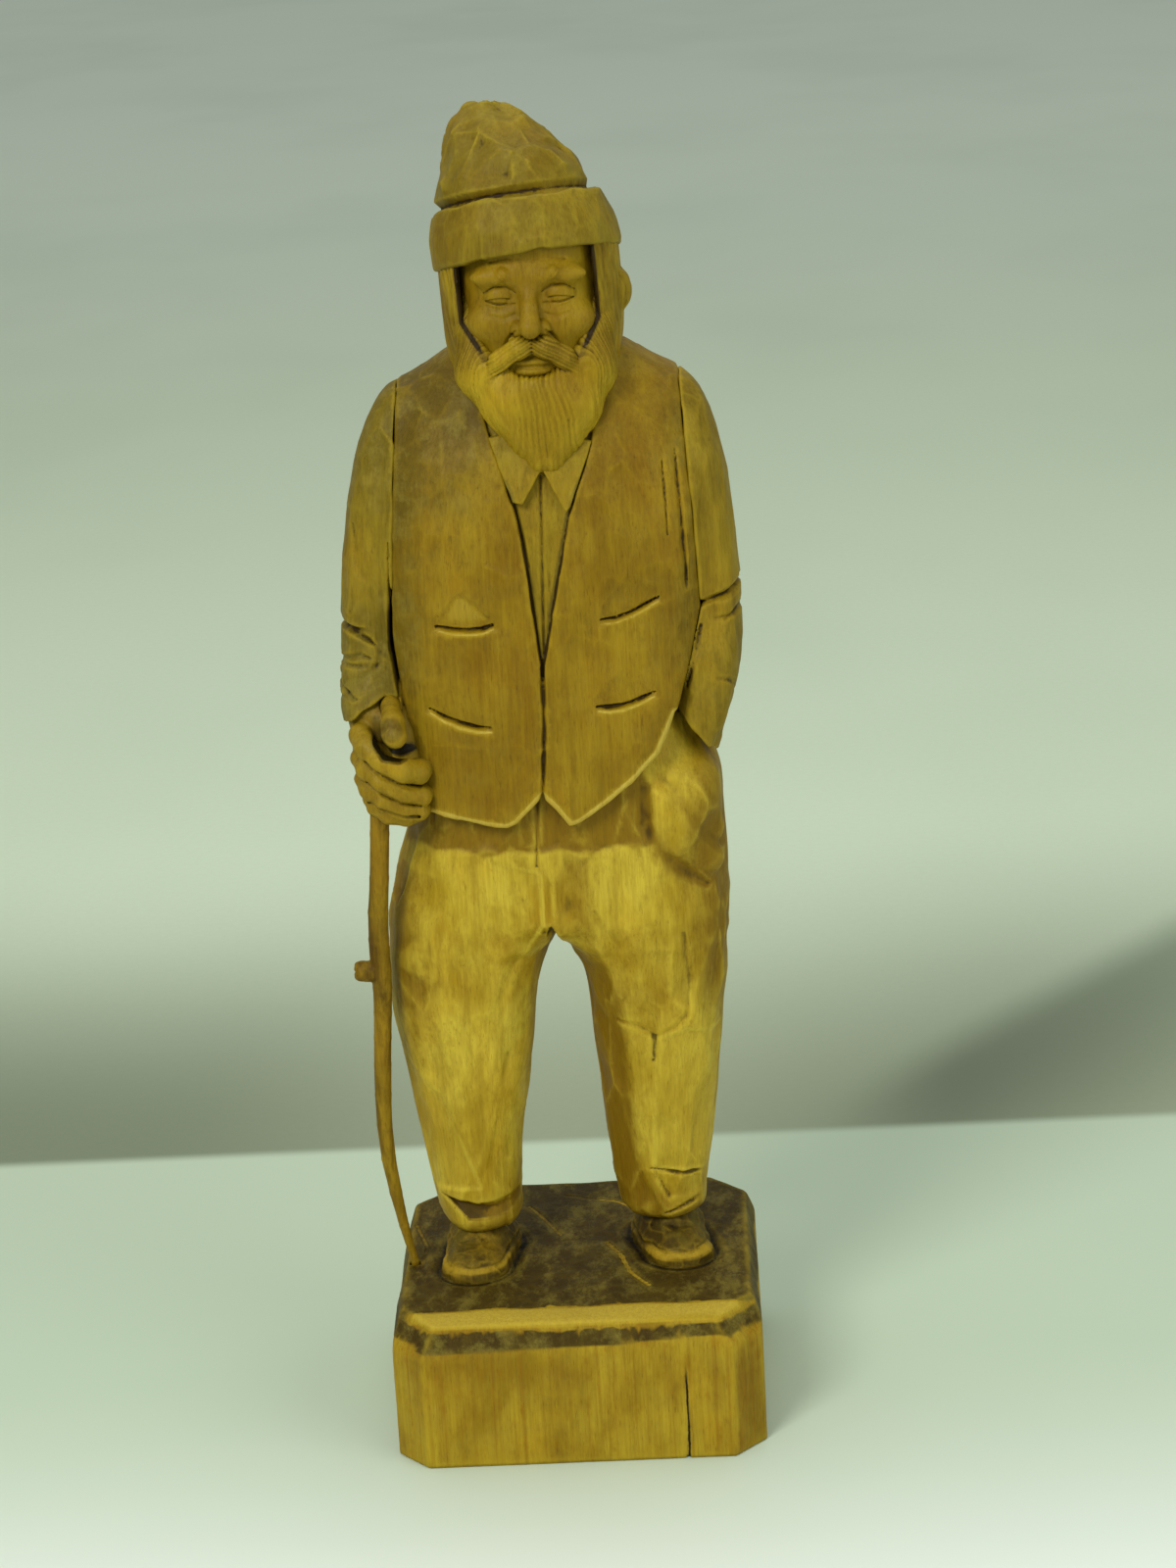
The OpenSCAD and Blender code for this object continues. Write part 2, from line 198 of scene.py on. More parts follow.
class Loft:
    """Superellipse sections [height, centre x, centre y, half width, half depth, squareness]."""

    def __init__(self, rows, k=0.8, steps=6):
        rows = [np.array(r, float) for r in rows]
        rows = [rows[0], *rows, rows[-1]]
        out = []
        for a, b, c, d in zip(rows, rows[1:], rows[2:], rows[3:]):  # a Catmull-Rom spline
            for t in np.arange(steps) / steps:
                bend = 2 * a - 5 * b + 4 * c - d + t * (3 * (b - c) + d - a)
                out.append(b + 0.5 * t * (c - a + t * bend))
        self.t = np.array(out + [rows[-1]], np.float32)
        self.k = k

    def __call__(self, P):
        z = P[2]
        cx, cy, rx, ry, e = (
            np.interp(z, self.t[:, 0], self.t[:, i]).astype(np.float32) for i in range(1, 6))
        u, v = np.abs(P[0] - cx) / rx + 1e-6, np.abs(P[1] - cy) / ry + 1e-6
        r = (u**e + v**e) ** (1 / e)
        g = r ** (1 - e) * np.sqrt((u ** (e - 1) / rx) ** 2 + (v ** (e - 1) / ry) ** 2)
        f = np.clip((r - 1) / g, DEEPEST, FARTHEST)
        return smax(f, smax(self.t[0, 0] - z, z - self.t[-1, 0], self.k), self.k)


# ---------------------------------------------------------------- knife marks


def chance(cell, n, seed):
    """The n-th random number, 0 to 1, of each whole-numbered cell: a hash of its place."""
    v = np.uint32(seed * 7919 + n * 104729)
    for c, prime in zip(cell, (73856093, 19349663, 83492791)):
        v = v ^ c.astype(np.uint32) * np.uint32(prime)
    v = (v ^ (v >> np.uint32(15))) * np.uint32(2246822519)
    v = (v ^ (v >> np.uint32(13))) * np.uint32(3266489917)
    return ((v ^ (v >> np.uint32(16))) & np.uint32(0xFFFF)).astype(np.float32) / 65535


def cuts(P, size, seed):
    """Jittered cells, one for each stroke of the knife: the squared distance to the nearest and the
    second nearest centre, the offset from the nearest and its random numbers."""
    Q = [P[i] / size[i] for i in range(3)]
    base = [np.floor(q).astype(np.int64) for q in Q]
    n = Q[0].shape
    f1, f2 = np.full(n, 9, np.float32), np.full(n, 9, np.float32)
    off = [np.zeros(n, np.float32) for _ in range(3)]
    rnd = [np.zeros(n, np.float32) for _ in range(3)]
    for o in np.ndindex(3, 3, 3):
        c = [base[i] + (o[i] - 1) for i in range(3)]
        j = [chance(c, m, seed) for m in range(3)]
        d = [Q[i] - (c[i] + 0.15 + 0.7 * j[i]) for i in range(3)]
        r = d[0] ** 2 + d[1] ** 2 + d[2] ** 2
        near = r < f1
        f2 = np.where(near, f1, np.minimum(f2, r))
        for i in range(3):
            off[i] = np.where(near, d[i], off[i])
            rnd[i] = np.where(near, j[i], rnd[i])
        f1 = np.where(near, r, f1)
    return f1, f2, off, rnd


def knife(size, depth, tilt, seed, edge=0.16):
    """Relief of shallow hollowed cuts: returns (outward move, worn edge between two cuts)."""

    def relief(P):
        f1, f2, off, rnd = cuts(P, size, seed)
        lean = sum(off[i] * (rnd[(i + 1) % 3] - 0.5) for i in range(3))
        between = np.sqrt(f2) - np.sqrt(f1)
        hollow = depth * (np.clip(f1 / 0.45, 0, 1.4) - 0.7)
        slope = tilt * depth * lean * 2.6 * np.clip(between / 0.3, 0, 1)
        return hollow + slope, edge * np.clip(1 - between / 0.16, 0, 1)

    return relief


def wobble(P, size, seed):
    """Smooth noise, about -1 to 1."""
    a = np.sin(P[0] / size + seed * 1.7 + 1.3 * np.sin(P[2] / size * 0.7 + seed))
    b = np.sin(P[1] / size * 1.1 + seed * 2.3 + 1.1 * np.sin(P[0] / size * 0.8 + seed * 0.6))
    c = np.sin(P[2] / size * 0.9 + seed * 0.9 + 1.2 * np.sin(P[1] / size * 0.9 + seed * 1.9))
    return (a + b + c) / 3


# ---------------------------------------------------------------- from distance to mesh


FAR = 9  # stands for any distance well away from the surface
CHUNK = 400000  # points worked out at a time
SAFE = 1.25  # how far, in blocks, the surface may be from the middle of a block that it crosses


def surface(f, lo, hi, h, block=6):
    """Vertices and quads of f = 0 in the box, with cells h wide, by surface nets. f is sampled
    finely only in the blocks of cells that it crosses."""
    lo = np.array(lo, float)
    nb = np.ceil((np.array(hi) - lo) / h / block).astype(int)
    n = nb * block
    c = [lo[i] + (np.arange(nb[i]) + 0.5) * block * h for i in range(3)]
    G = np.array([g.ravel() for g in np.meshgrid(*c, indexing="ij")], np.float32)
    d = f(G).reshape(nb)
    g = np.where(d < 0, -FAR, FAR).astype(np.float32)
    for ax in range(3):
        g = np.repeat(g, block, ax)
    active = np.argwhere(np.abs(d) < block * h * SAFE + h)
    inner = np.argwhere(np.ones((block,) * 3, bool))
    for part in np.array_split(active, max(1, len(active) * len(inner) // CHUNK)):
        at = (part[:, None, :] * block + inner[None]).reshape(-1, 3)
        g[at[:, 0], at[:, 1], at[:, 2]] = f((lo + (at + 0.5) * h).T.astype(np.float32))
    for ax in range(3):  # the box's own walls close the surface where the shape runs on past them
        for end in (0, -1):
            wall = [slice(None)] * 3
            wall[ax] = end
            g[tuple(wall)] = np.maximum(g[tuple(wall)], h)
    inside = g < 0
    pts, cells = [], []
    for ax in range(3):
        low, high = [slice(None)] * 3, [slice(None)] * 3
        low[ax], high[ax] = slice(0, -1), slice(1, None)
        e = np.argwhere(inside[tuple(low)] != inside[tuple(high)])
        b, k = (ax + 1) % 3, (ax + 2) % 3
        e = e[(e[:, b] > 0) & (e[:, k] > 0)]
        e2 = e.copy()
        e2[:, ax] += 1
        v0, v1 = g[tuple(e.T)], g[tuple(e2.T)]
        p = e.astype(np.float32)
        p[:, ax] += v0 / (v0 - v1)
        quad = []
        for ob, ok in ((0, 0), (-1, 0), (-1, -1), (0, -1)):
            cell = e.copy()
            cell[:, b] += ob
            cell[:, k] += ok
            quad.append(np.ravel_multi_index(cell.T, n))
        quad = np.array(quad).T
        flip = ~inside[tuple(e.T)]
        quad[flip] = quad[flip][:, ::-1]
        pts.append(p)
        cells.append(quad)
    p, quads = np.concatenate(pts), np.concatenate(cells)
    inv = np.unique(quads, return_inverse=True)[1].reshape(quads.shape)
    at = inv.ravel()
    count = np.bincount(at).astype(np.float32)
    V = np.array([np.bincount(at, weights=np.repeat(p[:, i], 4)) / count for i in range(3)])
    V = (lo[:, None] + (V + 0.5) * h).astype(np.float32)
    for _ in range(2):
        V -= toward(f, V, 0.25 * h, 0.5 * h)
    return V, inv


def gradient(f, V, eps):
    g = []
    for i in range(3):
        A, B = V.copy(), V.copy()
        A[i] += eps
        B[i] -= eps
        g.append((f(A) - f(B)) / (2 * eps))
    return np.array(g)


def toward(f, V, eps, most):
    """The move from each point towards f = 0."""
    g = gradient(f, V, eps)
    s = np.clip(f(V) / np.maximum((g * g).sum(0), 0.3), -most, most)
    return g * s


def normals(V, Q):
    """The vertex normals of quads Q."""
    n = np.cross((V[:, Q[:, 2]] - V[:, Q[:, 0]]).T, (V[:, Q[:, 3]] - V[:, Q[:, 1]]).T)
    out = np.array([
        sum(np.bincount(Q[:, k], weights=n[:, i], minlength=V.shape[1]) for k in range(4))
        for i in range(3)])
    return (out / np.maximum(np.sqrt((out * out).sum(0)), 1e-9)).astype(np.float32)


shapes = {}  # name: (distance function, low corner, high corner)
field = {}


def make_field(pitch=2, reach=12):
    """The whole figure's distance on a coarse grid, for painted shade and soiling in its hollows.
    """
    lo = np.array([min(s[1][i] for s in shapes.values()) for i in range(3)]) - reach
    hi = np.array([max(s[2][i] for s in shapes.values()) for i in range(3)]) + reach
    n = np.ceil((hi - lo) / pitch).astype(int) + 1
    g = np.full(n, reach, np.float32)
    for f, a, b in shapes.values():
        i0 = np.maximum(np.floor((np.array(a) - reach - lo) / pitch).astype(int), 0)
        i1 = np.minimum(np.ceil((np.array(b) + reach - lo) / pitch).astype(int) + 1, n)
        ax = [lo[i] + np.arange(i0[i], i1[i]) * pitch for i in range(3)]
        G = np.array([v.ravel() for v in np.meshgrid(*ax, indexing="ij")], np.float32)
        part = g[i0[0]:i1[0], i0[1]:i1[1], i0[2]:i1[2]]
        np.minimum(part, f(G).reshape(part.shape), out=part)
    field.update(lo=lo, pitch=pitch, g=g)


def sample(P):
    """The coarse field's distance at each point."""
    g = field["g"]
    q = (P.T - field["lo"]) / field["pitch"]
    i = np.clip(np.floor(q).astype(int), 0, np.array(g.shape) - 2)
    t = np.clip(q - i, 0, 1)
    out = 0
    for o in np.ndindex(2, 2, 2):
        w = np.prod([t[:, k] if o[k] else 1 - t[:, k] for k in range(3)], axis=0)
        out = out + w * g[i[:, 0] + o[0], i[:, 1] + o[1], i[:, 2] + o[2]]
    return out


def shape(name, lo, hi):
    """Lists the function that follows as a shape inside this box."""

    def keep(f):
        shapes[name] = (f, lo, hi)
        return f

    return keep


FINE, BROAD = 4, 14  # rounds of smoothing that show up narrow cuts and wide hollows
HOLLOW_REACH = (3, 6, 10)  # mm out from the surface at which the field is read for shade


def bends(me, P, N):
    """How hollow and how proud the mesh is at each vertex, from how far smoothing would move it."""
    e = np.empty(len(me.edges) * 2, np.int32)
    me.edges.foreach_get("vertices", e)
    a, b = e[::2], e[1::2]
    n = P.shape[1]
    count = np.maximum(np.bincount(a, minlength=n) + np.bincount(b, minlength=n), 1)
    S, out = P.astype(np.float64), []
    for k in range(1, BROAD + 1):
        S = np.array([
            (np.bincount(a, q[b], n) + np.bincount(b, q[a], n)) / count for q in S]) * 0.7 + S * 0.3
        if k in (FINE, BROAD):
            out.append(((S - P) * N).sum(0))
    fine, broad = out
    return np.clip(fine / 0.42 + broad / 1.2 - 0.1, 0, 1), np.clip(-fine / 0.16 - 0.15, 0, 1)


def vectors(me, key):
    """A row of three numbers for each vertex."""
    out = np.empty(len(me.vertices) * 3, np.float32)
    me.vertices.foreach_get(key, out)
    return out.reshape(-1, 3)


def piece(name, h, nodes, body, mat, keep, relief, tone):
    """Meshes a shape with cells h wide, cuts the knife marks into it, thins it to the share kept
    and stores what its material reads."""
    f, lo, hi = shapes[name]
    margin = 1.5 * h
    V, Q = surface(f, np.array(lo) - margin, np.array(hi) + margin, h)
    if relief:
        V = V + normals(V, Q) * relief(V)[0]
    full = bpy.data.meshes.new("full")
    full.vertices.add(V.shape[1])
    full.vertices.foreach_set("co", ((V.T + [0, 0, TOP]) * MM).astype(np.float32).ravel())
    full.loops.add(Q.size)
    full.loops.foreach_set("vertex_index", Q.ravel().astype(np.int32))
    full.polygons.add(len(Q))
    full.polygons.foreach_set("loop_start", np.arange(0, Q.size, 4, dtype=np.int32))
    full.update(calc_edges=True)
    full.validate()
    ob = bpy.data.objects.new("carved_" + name, full)
    scene.collection.objects.link(ob)
    ob.modifiers.new("thin", "DECIMATE").ratio = keep
    me = bpy.data.meshes.new_from_object(
        ob.evaluated_get(bpy.context.evaluated_depsgraph_get()))
    ob.modifiers.clear()
    ob.data = me
    bpy.data.meshes.remove(full)
    me.name = ob.name
    me.polygons.foreach_set("use_smooth", np.ones(len(me.polygons), bool))
    P = (vectors(me, "co") / MM - [0, 0, TOP]).T.astype(np.float32)
    N = vectors(me, "normal").T
    # cavity and hollow: how deep in a crease or between parts each vertex lies; the wood paints
    # shade and soiling there
    cavity, worn = bends(me, P, N)
    hollow = sum(np.clip(1 - sample(P + N * d) / d, 0, 1) for d in HOLLOW_REACH) / 3
    ridge = np.clip(worn + (relief(P)[1] if relief else 0), 0, 1)
    for key, value in (
            ("cavity", cavity), ("hollow", hollow), ("ridge", ridge), ("tone", tone(P, N))):
        data = me.attributes.new(key, "FLOAT", "POINT").data
        data.foreach_set("value", np.asarray(value, np.float32))
    me.materials.append(mat)
    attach(ob, body)
    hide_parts(*nodes)


# ---------------------------------------------------------------- the block

BASE_LO, BASE_HI = (np.array(c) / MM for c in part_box("base"))
HALF_W, HALF_D = (BASE_HI[0] - BASE_LO[0]) / 2, (BASE_HI[1] - BASE_LO[1]) / 2
RIM_Z, BAND_Z = -6.8, -1.6  # where the carved rim and the light bevel start
RIM_JOG = (  # the rim's wavy lower edge along the front
    (-46, -41, -24, 8, 22, 36, 40, 45), (-5.4, -7.9, -7.6, -7.2, -6.2, -5.4, -6.8, -5))
SCRATCHES = (
    [(7.3, 3, 0.5), (11.6, -6.8, 0.7), (14, -17.2, 0.5), (18.8, -25.9, 0.5)],
    [(-13.7, 29, 0.5), (-8.4, 18, 0.6), (-4.7, 8.7, 0.4)],
    [(-4, 36, 0.4), (10, 30, 0.5), (16, 24, 0.4)],
    [(-44, 20, 0.4), (-40, 4, 0.6), (-41, -9, 0.4)])
SHOES = ([(-24.5, 6), (-26.5, -10.5)], [(23.5, 8), (27, -6)])  # the heel and toe of each
CORNER_SLOPE = 12.04  # the length of (9, 8), the slant of the cut corners
SOCKET_AT, SOCKET_R, SOCKET_Z = (-42.8, -5.6), 1.45, -5.6


def corner(ax, ay, dx, dy):
    """Distance outside a slanting cut dx by dy mm off the block's corners."""
    return ((ax - HALF_W + dx) * 9 + (ay - HALF_D + dy) * 8 - 72) / CORNER_SLOPE


@shape("base_block", (-HALF_W, -HALF_D, -TOP), (HALF_W, HALF_D, 0.6))
def base_block(P):
    x, y, z = P
    w = 0.4 * wobble(P, 11, 3)
    ax, ay = np.abs(x), np.abs(y)
    raw = np.maximum(np.maximum(ax - HALF_W, ay - HALF_D), corner(ax, ay, 8, 9))
    # the rim: a dark band that leans in, then a pale bevel, wide along the front
    jog = np.interp(x, *RIM_JOG).astype(np.float32)
    low = RIM_Z + 0.9 * np.sin(y * 0.17 + np.sign(x))
    band = np.maximum(
        ax - HALF_W + 0.3 + 1.5 * (z - low) / 5, y - HALF_D + 0.3 + 1.5 * (z - low) / 5)
    band = np.maximum(band, -y - HALF_D + 0.4 + 1.8 * (z - jog) / 5) + w * 0.5
    bevel = (-y - (HALF_D - 2) + (z - BAND_Z + 0.12 * (jog + 6)) * 8 / 2) / 4.1 + w * 0.5
    rim = (ax - (HALF_W - 1.5) + (z - BAND_Z) * 0.9) / 1.35 + w * 0.5
    rim = np.maximum(rim, (y - (HALF_D - 1.5) + (z - BAND_Z) * 0.9) / 1.35 + w * 0.5)
    chip = corner(ax, ay, 10.5, 11) + (z + 3) * 0.55 + w
    top = z + 0.25 + 0.3 * wobble(P, 5, 8) + 0.15 * wobble(P, 2.2, 5)
    for heel, toe in SHOES:  # a groove cut round each shoe
        d = cone((x, y, z * 0), (*heel, 0), (*toe, 0), 9.6, 9.3)
        top = top + 0.7 * np.clip(1 - np.abs(d - 0.5) / 2.4, 0, 1) * (d > -3)
    f = smax(raw, smax(smax(band, bevel, 0.4), smax(rim, chip, 0.4), 0.4), 0.5)
    for mark in SCRATCHES:
        top = top + 0.4 * line(P, [(a, b, w + 0.4) for a, b, w in mark], (0, 1))
    f = smax(f, top, 0.5)
    f = smax(f, -TOP - z, 0.5)
    # a drying crack up the front face, and the stick's socket
    crack = [(27.1, -TOP - 1, 0.45), (27.7, -TOP + 12, 0.38), (27.3, -TOP + 27, 0.25)]
    f = f + 0.8 * line(P, crack) * (y < -30)
    foot = ball((x, y, z * 0), (*SOCKET_AT, 0), SOCKET_R)
    return np.maximum(f, -np.maximum(foot, SOCKET_Z - z))


# ---------------------------------------------------------------- trousers and shoes

leg_r = Loft([[8.6, -24.2, 2, 9.8, 12.2, 2.3], [12, -24.4, 2, 10.5, 12.8, 2.3],
    [18, -25.2, 2.5, 11.4, 13.2, 2.3], [30, -25.8, 3, 12.8, 14.5, 2.3],
    [46, -25.4, 3, 15.2, 16.2, 2.3], [58, -25.2, 2.5, 17, 17.6, 2.3],
    [69, -25.6, 2.5, 18.6, 19, 2.4], [78, -25, 2.5, 19.4, 20.2, 2.5],
    [85.4, -23.7, 3, 20.6, 21.4, 2.6], [90, -21.8, 3, 21.6, 21.9, 2.6], [98, -21, 3, 20, 20.4, 2.6],
    [108, -20, 3, 16, 16, 2.6]], 4)
leg_l = Loft([[9.4, 23.5, 4, 10.4, 12.3, 2.3], [13, 23.3, 4.2, 11.6, 13, 2.3],
    [18, 23.1, 4.5, 12.2, 13.3, 2.3], [30, 23.4, 4.5, 14, 14.5, 2.3],
    [46, 23.8, 4, 15.2, 16.2, 2.3], [58, 24.2, 3.5, 16.8, 17.6, 2.3], [69, 24.4, 3, 17.4, 19, 2.4],
    [78, 24.4, 3, 18.6, 20.2, 2.5], [85.4, 23, 3, 20.2, 21.4, 2.6], [90, 21.8, 3, 21.8, 21.9, 2.6],
    [98, 21, 3, 20, 20.4, 2.6], [108, 20, 3, 16, 16, 2.6]], 4)
seat = Loft([[91.2, 0, 3, 42.6, 22, 2.7], [98, 1, 3, 43, 24, 2.7], [110, 2.2, 3, 42, 24.6, 2.6],
    [121, 3.8, 3, 39.8, 24.4, 2.5], [132, 4.6, 3, 38.6, 24, 2.5], [142, 3.5, 3, 36, 23.6, 2.5],
    [150, 2.5, 3, 35, 23, 2.5]], 7)

# a wedge cut out above the right cuff
WEDGE = [(-34, 20.2), (-26, 17.9), (-20, 17.4), (-13.5, 19), (-13.5, 15.8), (-19, 13.6),
    (-27.5, 13.4)]
PADS = (  # valleys beside the pocketed fingers
    [(24.4, 131, 2.6), (23.6, 122, 2.6), (27.5, 114.5, 3), (33, 108.5, 3), (38.5, 103.5, 1.5)],
    [(29, 134, 2.6), (34.6, 125.4, 2.4), (38.6, 119, 2.4), (43.5, 111.5, 1.4)])
FACETS = (  # broad flat cuts on the front of the legs: outline, depth, tone (painted light above 0, painted shade below 0)
    ([(-17, 115), (-3, 111), (-3, 97), (-12.5, 81), (-19.5, 56), (-25, 50), (-26, 70),
        (-22.5, 92), (-19, 106)], 0.45, 0.3),
    ([(-44, 60), (-32.5, 50), (-28, 36), (-23.5, 22), (-36, 22), (-44, 40)], 0.5, 0.45),
    ([(23.2, 63), (32, 65), (44, 62), (40, 22), (21.5, 25)], 0.5, 0.6),
    ([(4, 84), (11, 84), (14.6, 66), (17.5, 28), (24, 10), (4, 10)], 0.3, -0.7),
    ([(-40, 84), (-31, 82), (-31.5, 54), (-38, 55)], 0.45, -0.45),
    ([(3, 115), (10, 115), (6.5, 100), (1.5, 95)], 0.35, -0.2),
    ([(-44, 112), (-30, 109), (-33, 92), (-44, 88)], 0.3, -0.3))
FLAP = [(21.4, 24.8), (38, 21.8), (38, 16), (24.9, 16.8)]  # a cut flap over the left cuff


@shape("trousers", (-46, -29, 4.5), (47, 30, 150))
def trousers(P):
    x, y, z = P
    f = smin(smin(leg_r(P), leg_l(P), 2), seat(P), 6)
    # the hand hidden in the pocket: its swelling, and the two slanting pads of its fingers
    f = smin(f, ellipsoid(P, (33.5, -9.5, 122), (8, 10.5, 15), rotation(0, -24)), 5)
    for pad, k in (
            ([(27.5, -15.2, 127, 4.6), (32.5, -14, 119.5, 5.4), (38.6, -10.6, 110.5, 4.6)], 2.2),
            ([(31.5, -13.4, 133, 3.6), (36, -12, 125.5, 4.2), (40.2, -8.4, 117.5, 3.4)], 2.4)):
        f = smin(f, chain(P, pad, 0.5), k)
    fr = front(P, -4)
    f = grooves(f, P, fr, (0.8, PADS[0]), (0.3, PADS[1]), how=dip)
    for outline, deep, _ in FACETS:
        f = f + fr * deep * step(1, -1.6, polygon(P, outline))
    # a band under the waistcoat, cut a little deeper; trouser_tone paints shade on it
    edge = 116.8 + 0.7 * np.sin(x * 0.33 + 1) + 0.5 * np.sin(x * 0.71)
    f = f + 0.6 * step(-1.2, 1.2, z - edge) * step(26, 22, x) * step(-34, -22, x) * fr
    # fly, crotch and knee
    f = grooves(f, P, fr, (0.8, [(-2.6, 133, 1), (-3.2, 124, 1), (-3.9, 112.5, 0.5)]))
    f = grooves(f, P, fr,
        (0.35, [(4.5, 117, 2.6), (5.5, 111, 3.2), (3.5, 102, 2.6), (-1, 93, 1.4)]),
        (0.35, [(-7.5, 114, 2.6), (-4.5, 107, 3.2), (-3, 98, 2.4), (-1.4, 93, 1.4)]), how=dip)
    crotch = line(P, [(0.6, 87, 3.2), (-0.6, 90.5, 1.8), (-1.2, 96.5, 0.5)])
    f = f + 2.2 * crotch * (0.7 + 0.3 * wobble(P, 0.9, 2)) * step(6, 0, y)
    f = grooves(f, P, fr,
        (0.5, [(14.3, 68.3, 0.7), (19, 66.7, 1.3), (23.5, 63.6, 1.4), (28.7, 65.5, 1.3),
            (32, 69.3, 1.2), (33.2, 79, 1.6), (32.2, 92, 0.8)]),
        (0.5, [(23.4, 63.6, 0.5), (23.4, 60, 0.6), (22.9, 56.5, 0.4)]))
    f = grooves(f, P, fr,
        (0.4, [(-14.5, 60, 1), (-17, 46, 3), (-16, 30, 1)]),
        (0.4, [(10, 100, 1), (14, 90, 3.5), (12, 74, 1.2)]),
        (0.4, [(-8, 104, 1), (-5, 98, 2.5), (-3, 94, 1)]), how=dip)
    # cuffs: a wedge cut out above one, a flap and a lower cut in the other
    wedge = 1.9 * step(0.3, -0.9, polygon(P, WEDGE)) * front(P, 2)
    f = f + wedge * np.clip((z - 13) / 5, 0.15, 1) * step(-10, -27, x)
    f = grooves(f, P, fr,
        (0.6, [(-24, 17.8, 0.5), (-20, 17.6, 0.6), (-13.5, 19.2, 0.5)]),
        (0.9, [(20.7, 25.2, 0.5), (24.5, 24.2, 0.7), (29, 22.6, 0.7), (38, 21.6, 0.5)]),
        (0.5, [(21.4, 24.8, 0.4), (24.9, 16.8, 0.9)]),
        (0.8, [(24, 12, 0.5), (29.3, 13.7, 0.8), (36, 15.4, 0.5)]))
    f = f + fr * 0.4 * step(0.5, -0.8, polygon(P, FLAP))
    # behind: the seam, the seat's fold and creases at the backs of the knees
    bk = step(6, 12, y)
    f = grooves(f, P, bk, (0.8, [(1, 88, 1.4), (2, 104, 1), (2.5, 128, 0.7)]))
    for side in (-1, 1):
        f = grooves(f, P, bk,
            (0.5, [(side * 6 + 1, 91, 1), (side * 18 + 1, 87, 2.4), (side * 34, 90, 1)]),
            (0.5, [(side * 12, 58, 0.5), (side * 24, 61, 1.8), (side * 37, 58, 0.5)]),
            (0.45, [(side * 14, 50, 0.5), (side * 26, 52, 1.6), (side * 36, 49, 0.5)]),
            (0.5, [(side * 15, 18, 0.5), (side * 24, 15.5, 1.4), (side * 34, 17.5, 0.5)]))
    return f


def shoe(P, heel, toe):
    x, y, z = P
    Q = (x, y, z * 1.3)
    f = cone(Q, (*heel, 0.8), (*toe, -0.4), 9.8, 8.9)
    mid = ((heel[0] + toe[0]) / 2 - 0.3, heel[1] - 4.5, 2.6)
    f = smin(f, ellipsoid(P, mid, (8.6, 13, 9.2)), 2.5)
    d = cone((x, y, z * 0), (*heel, 0), (*toe, 0), 9.6, 9.4)
    f = smax(f, d - 0.15, 1.2)
    f = f + 0.5 * np.clip(1 - np.abs(z - 2.8 - 0.4 * np.sin(x)) / 1, 0, 1)
    return smax(f, -1.6 - z, 0.3)


@shape("right_shoe", (-37, -22, -1.8), (-13, 17, 14))
def right_shoe(P):
    f = shoe(P, (-24.5, 6), (-26.5, -10.8))
    crease = [(-33, -8, 7, 0.6), (-26, -11, 7.6, 1.8), (-18, -8, 7, 0.6)]
    return grooves(f, P, 1, (0.7, crease), dims=XYZ)


@shape("left_shoe", (13, -18, -1.8), (37.5, 19, 14))
def left_shoe(P):
    f = shoe(P, (23.5, 8), (27, -6.3))
    crease = [(20, -4, 7, 0.6), (26, -7, 7.6, 1.8), (33, -4.5, 7, 0.6)]
    return grooves(f, P, 1, (0.7, crease), dims=XYZ)


# ---------------------------------------------------------------- waistcoat and shirt

torso = Loft([[118, 1, 2.5, 40, 27.2, 2.8], [135, 1, 2.5, 39.5, 27.5, 3],
    [156, 1.5, 2.5, 39.5, 27.7, 3.2], [176, 2, 3, 40, 28, 3.2], [196, 2.5, 3.5, 41, 27.6, 3.1],
    [212, 2.5, 4.5, 41, 26, 2.9], [224, 2.5, 5.5, 39, 23, 2.6], [232, 2.5, 6.5, 34, 20, 2.4],
    [239, 2.5, 7, 24, 17, 2.2], [243, 2.5, 7, 18, 15, 2]], 2)
ARMHOLES = [(-33, 240), (-32.4, 231), (-33, 222), (-34, 208), (-35.3, 192), (-36.3, 180),
    (-37.3, 170), (-35.6, 160), (-36.5, 153), (-40, 146), (-42, 118), (40, 118), (36, 140),
    (33, 150.5), (36, 160), (40.2, 176), (39.5, 192), (38.9, 205), (38.2, 218), (37, 240)]
FRONT_HEM = [(-60, 129), (-40, 128.6), (-29, 127.6), (-22, 126), (-15, 124.6), (-10.5, 124),
    (-8, 125), (-4, 129), (-1.2, 131.9), (2, 128.4), (5.1, 123.9), (8, 124.6), (16, 130),
    (23, 135.4), (28.5, 141), (33, 150.5), (45, 136), (60, 136), (60, 60), (-60, 60)]
BACK_HEM = [(-60, 127), (-30, 125), (0, 124), (28, 127), (33, 150.5), (45, 136), (60, 136),
    (60, 60), (-60, 60)]
OPENING = [(-13, 236), (-9.1, 222), (-6.6, 213.5), (-4.4, 205.5), (-2.8, 197), (-1.8, 188),
    (-0.6, 174), (0.6, 162.9), (2.2, 170), (4.2, 179.5), (6.8, 191), (9.3, 202.5), (12.4, 211),
    (15.4, 219.5), (18.5, 236)]
ELBOW_SHADE = [(-36, 196, 0.3), (-37.1, 176, 0.8), (-37, 168, 1), (-35.8, 160, 1),
    (-34.4, 153, 0.7)]
POCKETS = [  # slits
    [(-25.2, 177.1, 0.4), (-21, 176.4, 1.1), (-17, 176.1, 1.2), (-13.5, 176.4, 0.9),
        (-10.8, 177.4, 0.4)],
    [(-28, 156, 0.5), (-24.5, 154, 1.2), (-20.5, 152.4, 1.4), (-16.5, 151.4, 1),
        (-12.8, 151.2, 0.4)],
    [(15.6, 177.4, 0.2), (19, 177.5, 0.4), (23, 178.6, 0.8), (27, 180.4, 0.9), (30, 181.8, 0.4)],
    [(13.6, 155.4, 0.5), (16.5, 155, 1.1), (20, 155.2, 1.3), (24, 156.3, 0.9), (28, 157.9, 0.4)]]
